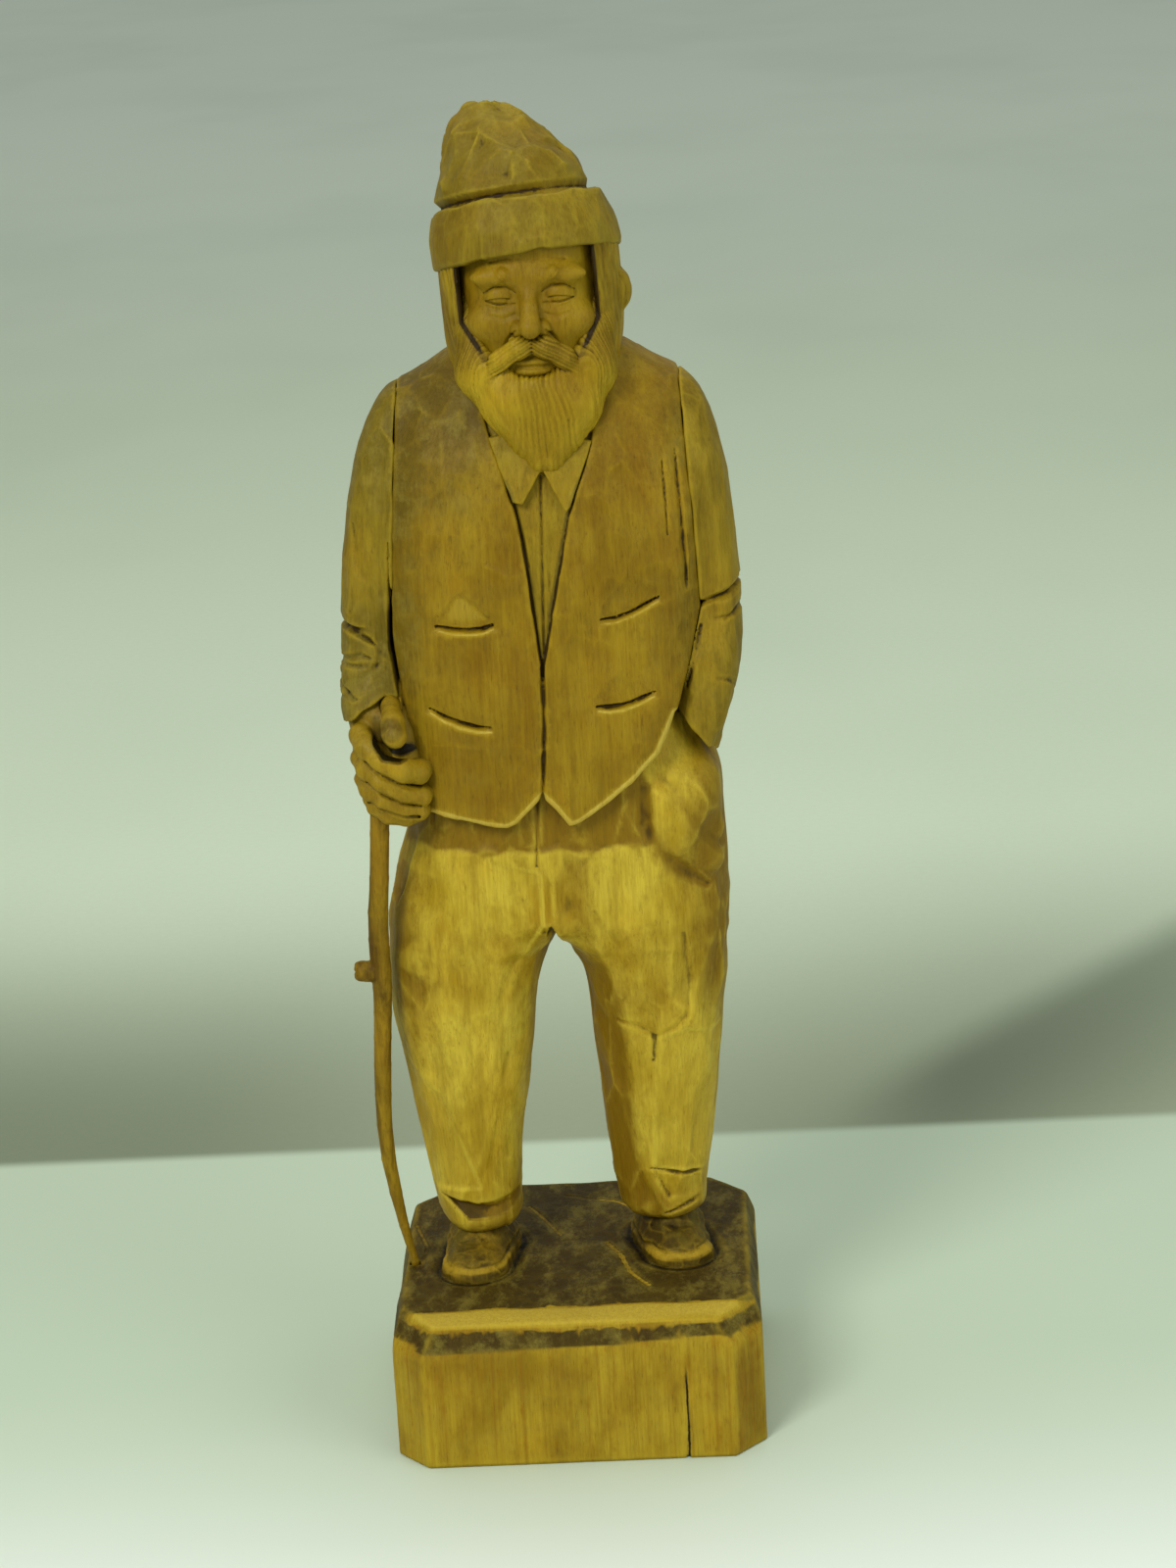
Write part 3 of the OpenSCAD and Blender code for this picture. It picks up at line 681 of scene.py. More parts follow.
LID = [(-24.4, 177.2), (-20.4, 183.6), (-18.4, 184.6), (-15.2, 182), (-11.6, 177.8), (-17, 176.2)]


@shape("waistcoat", (-41, -26, 121), (44, 32, 243.5))
def waistcoat(P):
    x, y, z = P
    f = smin(smin(torso(P), sleeve_r(P), 5), sleeve_l(P), 5)
    fr = front(P, -4)
    f = smax(f, polygon(P, ARMHOLES), 0.9)
    f = grooves(f, P, fr, (0.8, ELBOW_SHADE))
    hem = fr * polygon(P, FRONT_HEM) + (1 - fr) * polygon(P, BACK_HEM)
    f = smax(f, -hem, 1.2)
    gap = smax(polygon(P, OPENING), y + 8, 1)
    f = smax(f, -gap, 0.7)
    closing = [(0.6, 165, 0.7), (0.3, 150, 0.7), (-0.6, 138, 0.7), (-1.2, 131, 0.9)]
    f = grooves(f, P, fr, (1.2, closing))
    f = f + fr * 0.35 * step(0.5, -0.6, polygon(P, LID))
    for slit in POCKETS:
        f = grooves(f, P, fr, (1.5, [(a, b - 0.9, 0.34 * w + 0.2) for a, b, w in slit]))
        (a, b, _), (c, d, _) = slit[0], slit[-1]
        b, d = b - 0.9, d - 0.9
        lean = (d - b) / (c - a)
        over = z - b - lean * (x - a)  # a hollow over the slit, deepest at it, like a lid pushed in
        across = 1 - np.abs((x - (a + c) / 2) / ((c - a) / 2 + 0.5))
        fade = np.clip(1 - over / (3 + 6 * np.clip(across, 0, 1)), 0, 1)
        f = f + fr * 1.3 * step(-0.3, 0.6, across) * fade * step(-1.9, -0.9, over)
    # the shoulder seams, the neck, then the cuts in the armholes and the shadowed sides
    f = grooves(f, P, 1,
        (0.9, [(-14, -3, 239, 0.9), (-24, -2, 234.5, 0.9), (-33, 0, 229.6, 1)]),
        (0.9, [(21, -2, 238, 0.9), (30, -1, 234, 0.9), (39, 0, 229.4, 1)]),
        (1, [(-14, 14, 240, 1), (2, 22, 236, 1), (19, 14, 240, 1)]), dims=XYZ)
    f = grooves(f, P, fr,
        (0.9, [(35.6, 216, 0.3), (36, 208, 0.8), (36.9, 190, 0.8), (37.2, 182, 0.3)]),
        (0.7, [(32.4, 214, 0.3), (32.8, 205, 0.6), (33, 196, 0.3)]))
    # the back: a seam and a half belt
    bk = step(8, 14, y)
    f = grooves(f, P, bk, (0.9, [(2.5, 236, 0.8), (2.5, 200, 0.9), (2, 160, 0.9), (1.5, 124, 0.9)]))
    belt = np.abs(z - 152) - 4.5
    return f - bk * 0.7 * step(0.4, -0.4, belt)


@shape("shirt_front", (-17, -27, 160), (23, -3, 238))
def shirt_front(P):
    x, y, z = P
    fr = front(P, -4)
    f = torso((x, y - 2.1, z))
    f = smax(f, polygon(P, OPENING) - 2.2, 0.5)
    f = grooves(f, P, fr, (0.5, [(a, b, 1) for a, b in OPENING[1:8]]))
    f = smax(f, y + 5, 0.6)
    f = grooves(f, P, fr,
        (0.7, [(2.7, 212, 0.6), (2, 190, 0.6), (1.2, 168, 0.5)]),
        (0.3, [(5.6, 206, 0.5), (4.6, 196, 1.2), (3.4, 184, 0.4)]),
        (0.4, [(-6.5, 216, 0.5), (-3.6, 203, 1.2), (-1.2, 190, 0.4)]))
    # the collar: two flaps that lie on the waistcoat's edge
    for out in ([(2.7, 213.6), (-1.9, 206), (-4.4, 206.6), (-9.5, 222), (1, 224)],
            [(3.6, 213.6), (8.6, 203.4), (9.8, 205), (15.6, 220), (5, 224)]):
        flap = smax(polygon(P, out), np.abs(torso(P) + 0.2) - 1, 0.5)
        f = smin(f, smax(flap, y + 8, 0.5), 0.3)
    return f


# ---------------------------------------------------------------- sleeves and fist

sleeve_r = Loft([[146, -41.8, -11.5, 6.4, 8.4, 2.2], [149, -42.4, -10, 7.9, 10.4, 2.3],
    [156, -43, -6, 8.2, 11.6, 2.4], [164, -43, -2.2, 7.9, 12.4, 2.5],
    [169, -42.8, -0.6, 7.7, 12.6, 2.5], [172.5, -42.6, 0.2, 7.7, 12.8, 2.5],
    [185, -41.4, 1.4, 8, 13.4, 2.5], [200, -38.6, 2.2, 8.6, 13.6, 2.5],
    [214, -36, 2.6, 8.4, 13, 2.4], [225, -33.4, 3.2, 6.8, 11, 2.3], [232.4, -29.5, 4, 5.2, 9, 2.2]],
    2.2)
sleeve_l = Loft([[128, 35.6, -9, 4.4, 8, 2.2], [136, 37, -8.5, 5.4, 9.4, 2.3],
    [150, 39.9, -6, 7.3, 11.6, 2.4], [162, 42, -3, 7.9, 12.6, 2.5], [172, 43.2, 0, 7.5, 13, 2.5],
    [184, 43, 1.4, 7.4, 13.4, 2.5], [200, 41.2, 2.2, 8, 13.6, 2.5], [214, 39.4, 2.6, 7.8, 13, 2.4],
    [226, 36.6, 3.2, 6.6, 11, 2.3], [232, 33.5, 4, 5.4, 9, 2.2]], 2.2)


@shape("right_sleeve", (-52, -21, 143), (-24, 23, 234))
def right_sleeve(P):
    x, y, z = P
    f = smin(sleeve_r(P), torso(P), 5)
    f = smax(f, -polygon(P, ARMHOLES), 0.9)
    hem = np.interp(x, (-52, -47.5, -44, -39.5, -36, -33), (-1, 1.5, 4, 7, 6, 3))
    f = smax(f, 150.5 - z + hem.astype(np.float32), 0.5)
    f = grooves(f, P, front(P, -2), (0.8, ELBOW_SHADE))
    f = grooves(f, P, front(P, 4),
        (1.2, [(-52, 174.2, 1), (-48.4, 174.3, 1.4), (-45.8, 173.2, 1.3), (-42.6, 171.2, 1),
            (-41, 169.8, 0.4)]),
        (0.9, [(-52, 165, 0.9), (-48, 166.6, 1.3), (-45, 167.6, 1.1), (-42.5, 166.8, 0.5)]),
        (0.5, [(-51, 156, 1), (-46, 160.5, 2.6), (-41, 165, 1)]),
        (0.4, [(-46, 152, 1), (-42, 160, 2.4), (-40, 168, 1)]),
        (0.5, [(-45, 200, 0.5), (-44, 188, 1.8), (-47, 178, 0.6)]))
    f = grooves(f, P, step(-42, -46, x),
        (1.3, [(-14, 173.5, 1), (-2, 174.6, 1.5), (8, 172.5, 1.2), (14, 171, 0.6)]),
        (0.9, [(-14, 165, 0.8), (0, 164.5, 1.3), (8, 168, 0.6)]),
        (0.7, [(-16, 157, 0.8), (-6, 161, 1.5), (6, 163, 0.6)]), dims=YZ)
    behind = [(-50, 174.5, 1.2), (-42, 172, 1.3), (-36, 174, 0.6)]
    return grooves(f, P, step(2, 10, y), (0.8, behind))


@shape("left_sleeve", (30, -20, 127), (52, 23, 234))
def left_sleeve(P):
    x, y, z = P
    f = smin(sleeve_l(P), smax(torso(P), 160 - z, 4), 5)
    f = smax(f, -polygon(P, ARMHOLES), 0.9)
    cuff = polygon(P, [(24, 158), (33, 150.2), (44.6, 136), (60, 134), (60, 60), (24, 60)])
    f = smax(f, -cuff, 0.8)
    f = grooves(f, P, front(P, 4),
        (1.2, [(37, 175.2, 0.6), (39.7, 176.5, 1), (45, 178.2, 1.1), (50.1, 180.1, 1.2),
            (53, 180.6, 1)]),
        (0.5, [(53, 174, 1), (50, 174.4, 1.2), (46, 172, 0.5)]),
        (0.6, [(40.2, 171.5, 0.5), (38.5, 165, 1.4), (36, 156, 0.6)]),
        (0.5, [(52, 156, 0.8), (44, 143, 1.2), (36, 133, 0.8)]))
    f = grooves(f, P, step(42, 46, x),
        (1.2, [(-12, 177.5, 1), (-2, 180.5, 1.4), (8, 178.5, 1.1), (14, 175, 0.6)]),
        (0.8, [(-14, 172.5, 0.8), (-4, 174, 1.2), (6, 172, 0.6)]),
        (0.6, [(-16, 158, 0.6), (-8, 154, 1.5), (-2, 146, 0.6)]), dims=YZ)
    behind = [(51, 177, 1.2), (43, 175, 1.3), (37, 177, 0.6)]
    return grooves(f, P, step(2, 10, y), (0.8, behind))


GRIP = np.array([-43.2, -18.1, 118.5])  # a point on the stick's straight upper stretch
LEAN = np.array([0.083, -0.108, 1])  # and its direction
HOLE_R, THUMB_TOP = 2.98, 28  # the hole through the fist, which ends under the thumb


def from_grip(P):
    """Distance from the stick's straight upper stretch, and the height along it."""
    u = LEAN / np.linalg.norm(LEAN)
    q = [P[i] - GRIP[i] for i in range(3)]
    h = sum(q[i] * u[i] for i in range(3))
    return np.sqrt(np.maximum(sum(v * v for v in q) - h * h, 0)), h


FINGERS = (  # from the knuckle round the stick to the tip
    [(-45, -12, 149.4, 2.8), (-46, -18, 148.2, 2.9), (-44.2, -22.8, 146.2, 3.1),
        (-40.4, -25.4, 143.2, 3.4), (-36, -25.4, 140.8, 3.5), (-31.8, -22.8, 139.3, 3.1),
        (-30.2, -18.6, 139.5, 2.6)],
    [(-45.8, -12, 143.4, 2.5), (-46.2, -18.2, 142.4, 2.6), (-44.6, -22.8, 140.8, 2.75),
        (-41, -25.2, 137.7, 2.8), (-36, -24.8, 134.7, 2.8), (-31.4, -22.4, 132.9, 2.6),
        (-30.2, -18.6, 133.2, 2.2)],
    [(-45.4, -12, 137.4, 2.3), (-45.9, -18, 136.8, 2.35), (-44.5, -22.2, 135.2, 2.45),
        (-41, -24.2, 132.5, 2.5), (-36.4, -23.4, 130, 2.4), (-32, -21.2, 128.8, 2.3),
        (-30.8, -18, 129.2, 2)],
    [(-43.8, -12, 132, 2.2), (-44.4, -17, 131.4, 2.2), (-43.2, -20.8, 130, 2.2),
        (-40, -22.2, 128.2, 2.2), (-35.8, -21.4, 127.1, 2.1), (-32.6, -19, 127.2, 1.9)])


@shape("right_fist", (-51, -31, 124), (-27, -2, 163))
def right_fist(P):
    f = chain(P, [(-41.3, -12.6, 133, 4.4), (-42, -11, 140, 5.8), (-42.8, -10.4, 151, 6.6)], 2)
    palm = [(-35.5, -16, 133, 4.4), (-36, -16.5, 140, 5), (-38, -13.5, 150, 5.4)]
    f = smin(f, chain(P, palm, 2), 3)
    for way in FINGERS:
        f = smin(f, chain(P, [(a, b + 0.3, c, r * 0.97) for a, b, c, r in way], 0.7), 1.1)
    for upper, lower in zip(FINGERS, FINGERS[1:]):  # dark cuts between the fingers
        cut = []
        for (*p, r), (*q, s) in zip(upper[2:6], lower[2:6]):
            x, y, z = ((a * s + b * r) / (s + r) for a, b in zip(p, q))
            cut.append((x, y - 2.2, z, 0.9))
        f = grooves(f, P, 1, (1.3, cut), dims=XYZ)
        f = f + 0.5 * line(P, [(x, z, 0.7) for x, _, z, _ in cut]) * front(P, -21)
    under_thumb = [(-41.6, 152, 0.6), (-41, 148.4, 1.5), (-39.4, 145.4, 1.7),
        (-36, 144.4, 1.5), (-33.4, 144.8, 1.3), (-31.4, 144.6, 0.6)]
    f = f + 2.2 * line(P, under_thumb) * front(P, -20)
    thumb = [(-38.6, -9, 157, 2.2), (-38, -17, 155, 2.3), (-37.2, -22.8, 152.2, 2.9),
        (-37, -24.8, 149.6, 3.2)]
    f = smin(f, chain(P, thumb, 1), 0.3)
    heel = [(-36.5, -10, 157, 3.4), (-35, -14, 148, 4), (-34, -16, 138, 3.6)]
    f = smin(f, chain(P, heel, 1), 1.5)
    d, h = from_grip(P)
    return np.where(h > THUMB_TOP, f, np.maximum(f, HOLE_R - d))


# ---------------------------------------------------------------- head

CX = 2.5  # the middle of the head
head = Loft([[214, 2.5, 6, 15, 15, 2], [228, 2.5, 4, 18.5, 18.5, 2.1],
    [240, 2.5, 1.5, 21.2, 21.8, 2.2], [252, 2.5, 0.5, 22.2, 23, 2.2], [266, 2, 0.5, 22, 23.5, 2.1],
    [276, 2, 0.5, 21, 22.5, 2.1]])
skull = Loft([[218, 2.5, 0, 10, 14, 2], [228, 2.5, -0.5, 14, 18.5, 2.1],
    [238, 2.5, -0.5, 16.6, 20.4, 2.1], [250, 2.5, -0.5, 18, 20.6, 2.1],
    [262, 2.3, -0.5, 18, 20.4, 2.1], [276, 2, -0.5, 17, 19.6, 2.1]])
CAP_AT = np.array([2, 0, 262])
CAP_TURN = rotation(-12, -6)


def in_cap(P):
    """The points in the tilted cap's own axes, from the middle of its brim."""
    return (CAP_TURN.T @ (np.asarray(P) - CAP_AT[:, None])).astype(np.float32)


@shape("face", (-17, -29, 234), (22, 2, 277))
def face(P):
    x, y, z = P
    u = x - CX
    au = np.abs(u)
    S = (au, y, z)
    f = skull(P)
    f = smin(f, ellipsoid(S, (5.5, -18.2, 261.2), (8.5, 3.2, 2.6)), 3)  # brow
    brow = [(2.2, -20.4, 260.6, 0.9), (6, -20.9, 262, 1.35), (11, -17.9, 260.4, 0.7)]
    brow = chain(S, brow, 1.5)
    f = smin(f, brow + 0.25 - strands(P, au * 0.8 - z * 0.7, 0.9, 0.25, 4), 0.6)
    f = smin(f, ellipsoid(S, (9.4, -15.6, 249.8), (6, 4.7, 4.8)), 3)  # cheek
    f = smax(f, -ellipsoid(S, (7, -22.2, 256.4), (4.8, 3.4, 3.1)), 1.6)  # socket
    eye = ball(S, (7, -15.9, 256.2), 3.9)
    f = smin(f, eye, 0.3)
    lid = smax(ball(S, (7, -15.9, 256.3), 4.45), -(z - 256.3 + 0.10 * (au - 7) ** 2 * 0.6), 0.25)
    f = smin(f, lid, 0.25)
    low = smax(ball(S, (7, -15.9, 256), 4.4), (z - 254.7 - 0.05 * (au - 7) ** 2), 0.25)
    f = smin(f, low, 0.3)
    nose = chain((u, y, z), [(0, -19.6, 260, 1.7), (0, -22.2, 254, 2), (0, -24.4, 249.5, 2.7)], 1)
    nose = smin(nose, ball(S, (2.9, -21.7, 248.8), 2.05), 1)
    f = smin(f, nose, 1.4)
    f = grooves(f, S, 1, (0.8, [(2, -24.2, 246.6, 0.9), (1.3, -23.4, 246.3, 0.9)]), dims=XYZ)
    T = (u, y, z)
    f = smin(f, ellipsoid(T, (0, -20.2, 238.3), (4.4, 2.2, 1.5)), 0.8)  # lower lip
    f = smin(f, ellipsoid(T, (0, -20.4, 240.6), (4.6, 1.9, 1.2)), 0.6)
    f = grooves(f, S, 1,  # above and below the eyes
        (0.45, [(3.2, 257.4, 0.3), (5.4, 258.9, 0.6), (8.4, 258.9, 0.6), (11, 257.2, 0.3)]),
        (0.35, [(3.4, 254.9, 0.3), (7, 254.5, 0.55), (10.6, 255.4, 0.3)]))
    mouth = [(-4.6, -22, 239.4, 0.5), (0, -22.6, 239.5, 0.9), (4.6, -22, 239.4, 0.5)]
    f = grooves(f, T, 1, (0.9, mouth), dims=XYZ)
    f = grooves(f, S, 1,  # forehead, beside the nose and under the eyes
        (0.3, [(0, 265.2, 1), (5, 265.6, 1.1), (9, 264.8, 0.5)]),
        (0.5, [(3.7, 248.6, 0.5), (5.6, 246, 0.9), (7.2, 243, 0.5)]),
        (0.3, [(3.6, 252.4, 0.5), (6.5, 251.2, 1.1), (9.6, 252.2, 0.5)]))
    return smax(f, y, 0.5)


def strands(P, across, spacing, depth, seed):
    """Grooves between locks of hair, spaced along a coordinate that runs across them."""
    c = across + 0.5 * spacing * wobble(P, 4.5, seed) + 0.3 * spacing * wobble(P, 1.7, seed + 5)
    c = c / spacing
    r = np.abs(c - np.round(c)) * 2
    c2 = c * 0.41 + 0.3
    big = np.abs(c2 - np.round(c2)) * 2
    ends = 0.6 + 0.4 * wobble(P, 2.4, seed + 2)
    return depth * (np.clip(r / 0.55, 0, 1) * ends + 0.6 * np.clip(big / 0.4, 0, 1))


FACE_EDGE = [(-13.6, 282), (-14.8, 262), (-14.2, 250), (-9.5, 243), (-8, 236), (13, 236),
    (14.8, 243), (18.6, 250), (18.2, 262), (17, 282)]
BEARD_EDGE = [(-11, 262), (-11.4, 250), (-8.6, 244), (-5, 241), (10, 241), (13.6, 244),
    (16.4, 250), (16, 262)]


@shape("hair", (-22, -24, 216), (28, 26, 277))
def hair(P):
    x, y, z = P
    f = head(P)
    f = smin(f, ellipsoid((x - CX, y, z), (21.4, -2, 254.2), (3, 4.6, 4.8)), 1.2)
    gap = smax(polygon(P, FACE_EDGE), y + 2, 0.8)
    f = smax(f, -gap, 1.4)
    f = smax(f, in_cap(P)[2] - 3.5, 0.5)
    turn = np.arctan2(x - CX, -(y - 1))
    face_on = np.clip(turn, -1.57, 1.57)
    # so that the locks look evenly spaced from the front
    around = 21 * (turn - 0.7 * face_on + 0.7 * np.sin(face_on))
    return f + 0.28 - strands(P, around + 0.12 * (z - 250), 1.35, 0.44, 3)


@shape("beard", (-19, -31, 211), (25, 0, 255))
def beard(P):
    x, y, z = P
    u = x - 3 - 1.4 * step(236, 222, z)
    jaw = [(16, -7.5, 256, 2.4), (14.2, -11, 247, 5), (11.8, -13.3, 238, 7.4),
        (6.8, -16, 229.6, 7.2), (3.6, -18.2, 222.6, 5.3), (1.2, -19.8, 216.6, 3.5)]
    f = chain((np.abs(u), y, z), jaw, 3)
    f = smin(f, ellipsoid((u, y, z), (0, -14, 231), (13.2, 11.8, 12.5)), 3)
    f = smin(f, ellipsoid((u, y, z), (0, -18.4, 234.4), (6.2, 6.2, 4.2)), 2)
    mouth = smax(ellipsoid((x - CX, y, z), (0, -22, 241.2), (6.6, 6.4, 4.4)), -z + 237, 1)
    f = smax(f, -mouth, 1)
    f = smax(f, -polygon(P, BEARD_EDGE), 1.2)
    fan = np.arctan2(u, 305 - z) * 62 + np.sign(u) * (y + 16) * step(8, 15, np.abs(u))
    f = f + 0.26 - strands(P, fan, 1.1, 0.36, 5)
    side = np.abs(x - CX)
    moustache = chain((side, y, z), [(0.4, -21.6, 244.9, 1.9), (3.4, -22.6, 244.4, 2.4),
        (7.6, -21.8, 241.7, 2.3), (11.2, -19.6, 237.4, 1.6), (13, -18.2, 233.6, 0.8)], 1.5)
    moustache = moustache + 0.24 - strands(P, (z - 245) + (side - 1) * 0.62, 1.05, 0.36, 9)
    return smin(f, moustache, 0.4)


# ---------------------------------------------------------------- cap

BAND = 15  # the height of the turned-up band
cap_band_loft = Loft([[0, 0, 0, 22.6, 24, 2.1], [2, 0, 0, 23.2, 24.6, 2.1],
    [BAND / 2, -0.3, 0, 22.9, 24.4, 2.1], [BAND - 1.5, -0.6, 0.3, 21.2, 23, 2.1],
    [BAND, -0.6, 0.4, 20.4, 22.2, 2.1]], 1.2)
crown_loft = Loft([[BAND - 5, -1.2, 0.3, 19.5, 21.2, 2.1], [BAND, -1.4, 0.4, 19.4, 21.1, 2.1],
    [BAND + 5, -1.5, 0.8, 18, 20, 2.1], [BAND + 10, -1.7, 1.4, 15.8, 17.8, 2.1],
    [BAND + 17, -4.1, 3, 11.7, 13, 2.2], [BAND + 21.5, -5.3, 4.2, 8, 8.6, 2.2],
    [BAND + 24, -5.8, 4.6, 4.6, 4.4, 2.2]], 1.2)


@shape("cap_band", (-25, -28, 254), (30, 28, 284))
def cap_band(P):
    q = in_cap(P)
    f = cap_band_loft(q)
    around = np.arctan2(q[0], -q[1])
    wave = 0.5 * np.sin(around * 3 + 1) + 0.4 * np.sin(around * 7)
    f = smax(f, q[2] - BAND + 0.8 + wave * 0.7, 0.8)
    f = smax(f, -(q[2] - 0.4 - wave * 0.5), 0.8)
    return smax(f, -smax(head(P) + 2, q[2] - 4, 0.5), 0.5)


@shape("cap_crown", (-24, -24, 270), (24, 30, 303))
def cap_crown(P):
    q = in_cap(P)
    f = crown_loft(q)
    f = smin(f, chain(q, [(-6.5, 4.2, BAND + 21, 3.2), (-8.2, 4, BAND + 22.8, 2.4)], 1), 1.2)
    tuck = [(-11, 0, BAND + 20, 0.4), (-9, -1.5, BAND + 21.6, 1), (-6.6, -0.6, BAND + 23.6, 0.5)]
    f = grooves(f, q, 1, (0.9, tuck), dims=XYZ)
    around = np.arctan2(q[0] + 2, -(q[1] - 1))
    deep = 1.2 + 0.8 * step(0.9, -0.6, around) * step(-2.6, -1.6, around)
    f = f + deep * np.clip(1 - np.abs(q[2] - BAND - 0.2) / 2, 0, 1)
    return f + 0.5 * np.abs(np.sin(around * 3.5 + 0.10 * q[2])) ** 0.7 - 0.3


# ---------------------------------------------------------------- stick

STICK = [(-42.8, -5.6, -3.4, 0.78), (-42.8, -5.6, 0.3, 0.98), (-43.6, -5.9, 4, 1.05),
    (-44.9, -6.7, 11, 1.25), (-46.4, -7.7, 21, 1.6), (-47.5, -8.8, 31, 1.88),
    (-47.8, -9.9, 41, 1.95), (-47.5, -10.8, 49.5, 2.12), (-47, -11.7, 58, 2.22),
    (-46.4, -12.5, 66, 2.26), (-45.8, -13.2, 73, 2.28), (-45.4, -14, 80, 2.4),
    (-45.4, -14.6, 86, 2.6), (-45.3, -15.4, 93.5, 2.58), (-44.9, -16.2, 101, 2.56)]
STICK += [(*(GRIP + LEAN * h), 2.42) for h in (-8, 4, 19.6)]


@shape("whittled_stick", (-54, -24, -5.2), (-38, -3, 140.5))
def stick(P):
    f = chain(P, STICK, 0.3)
    f = smin(f, cone(P, (-45.8, -14.4, 84.4), (-50.2, -14.9, 85), 2.8, 2.7), 0.8)  # the cut shoot
    f = smax(f, -52.1 - P[0], 0.35)
    f = grooves(f, P, 1,
        (0.35, [(-51.8, -16.6, 85.4, 0.5), (-51.8, -14.2, 85.2, 0.9)]),
        (0.35, [(-47, -17, 80, 0.3), (-46.4, -17.2, 85, 0.8), (-46, -17.6, 92, 0.3)]),
        (0.6, [(-49.4, -16.6, 87.6, 0.5), (-47.8, -17.4, 86.6, 1), (-46, -17.8, 87.6, 0.6)]),
        dims=XYZ)
    foot = cone(P, (-43.16, -5.13, -4.35), (-42.8, -5.6, 0), 0.95, 0.95)
    return smin(f, foot, 0.3)


# ---------------------------------------------------------------- wood


class Value:
    """A value in a node tree, with arithmetic that adds the nodes for it."""

    def __init__(self, nt, socket):
        self.nt, self.socket = nt, socket

    def into(self, socket):
        self.nt.links.new(self.socket, socket)

    def math(self, kind, other):
        m = self.nt.nodes.new("ShaderNodeMath")
        m.operation = kind
        self.into(m.inputs[0])
        if isinstance(other, Value):
            other.into(m.inputs[1])
        else:
            m.inputs[1].default_value = other
        return Value(self.nt, m.outputs[0])

    def __add__(self, other):
        return self.math("ADD", other)

    def __sub__(self, other):
        return self.math("SUBTRACT", other)

    def __mul__(self, other):
        return self.math("MULTIPLY", other)

    def spread(self, low, high, to_low=0, to_high=1):
        """to_low where the value is low, to_high where it is high, and smooth between."""
        m = self.nt.nodes.new("ShaderNodeMapRange")
        m.interpolation_type = "SMOOTHSTEP"
        self.into(m.inputs["Value"])
        for key, v in (
                ("From Min", low), ("From Max", high), ("To Min", to_low), ("To Max", to_high)):
            m.inputs[key].default_value = v
        return Value(self.nt, m.outputs["Result"])

    def noise(self, scale, stretch, detail, rough=0.55, seed=0):
        """Noise at this place, with scale in features per mm."""
        place = self.nt.nodes.new("ShaderNodeMapping")
        place.inputs["Scale"].default_value = [1000 * scale * s for s in stretch]
        place.inputs["Location"].default_value = (seed, seed * 1.3, seed * 0.7)
        self.into(place.inputs["Vector"])
        n = self.nt.nodes.new("ShaderNodeTexNoise")
        for key, v in (("Scale", 1), ("Detail", detail), ("Roughness", rough)):
            n.inputs[key].default_value = v
        self.nt.links.new(place.outputs["Vector"], n.inputs["Vector"])
        return Value(self.nt, n.outputs["Fac"])

    def axes(self):
        split = self.nt.nodes.new("ShaderNodeSeparateXYZ")
        self.into(split.inputs[0])
        return [Value(self.nt, out) for out in split.outputs]

    def attribute(self, name):
        n = self.nt.nodes.new("ShaderNodeAttribute")
        n.attribute_name = name
        return Value(self.nt, n.outputs["Fac"])


def blend(how, amount, a, b):
    """Colour a with as much of b as the amount."""
    m = amount.nt.nodes.new("ShaderNodeMix")
    m.data_type = "RGBA"
    m.blend_type = how
    amount.into(m.inputs["Factor"])
    for socket, v in ((m.inputs[6], a), (m.inputs[7], b)):
        if isinstance(v, Value):
            v.into(socket)
        else:
            socket.default_value = (*v, 1)
    return Value(amount.nt, m.outputs[2])


def material(name):
    """A new material, its shader and the place on the piece in metres."""
    mat = bpy.data.materials.new(name)
    mat.use_nodes = True
    nt = mat.node_tree
    place = Value(nt, nt.nodes.new("ShaderNodeTexCoord").outputs["Object"])
    return mat, nt.nodes["Principled BSDF"], place


def srgb(r, g, b):
    return tuple(
        ((c / 255 + 0.055) / 1.055) ** 2.4 if c > 10 else c / 255 / 12.92 for c in (r, g, b))


BARE_AND_HIGHLIGHT = srgb(200, 176, 74)  # freshly worn edges, and painted highlights
BUMP_HEIGHT, DULL = 0.0003, 0.14  # the grain's height in metres, and bare wood's weak gloss
CRACK_X, CRACK_TOP, CRACK_Y = 0.0275, 0.027, (-0.044, -0.042)  # the front's hairline
# SOIL_AND_SHADE and BLACK darken the hollows with soiling and painted shade; GREY is dust
SOIL_AND_SHADE, BLACK, GREY = (48, 33, 4), (30, 22, 1), (134, 118, 44)
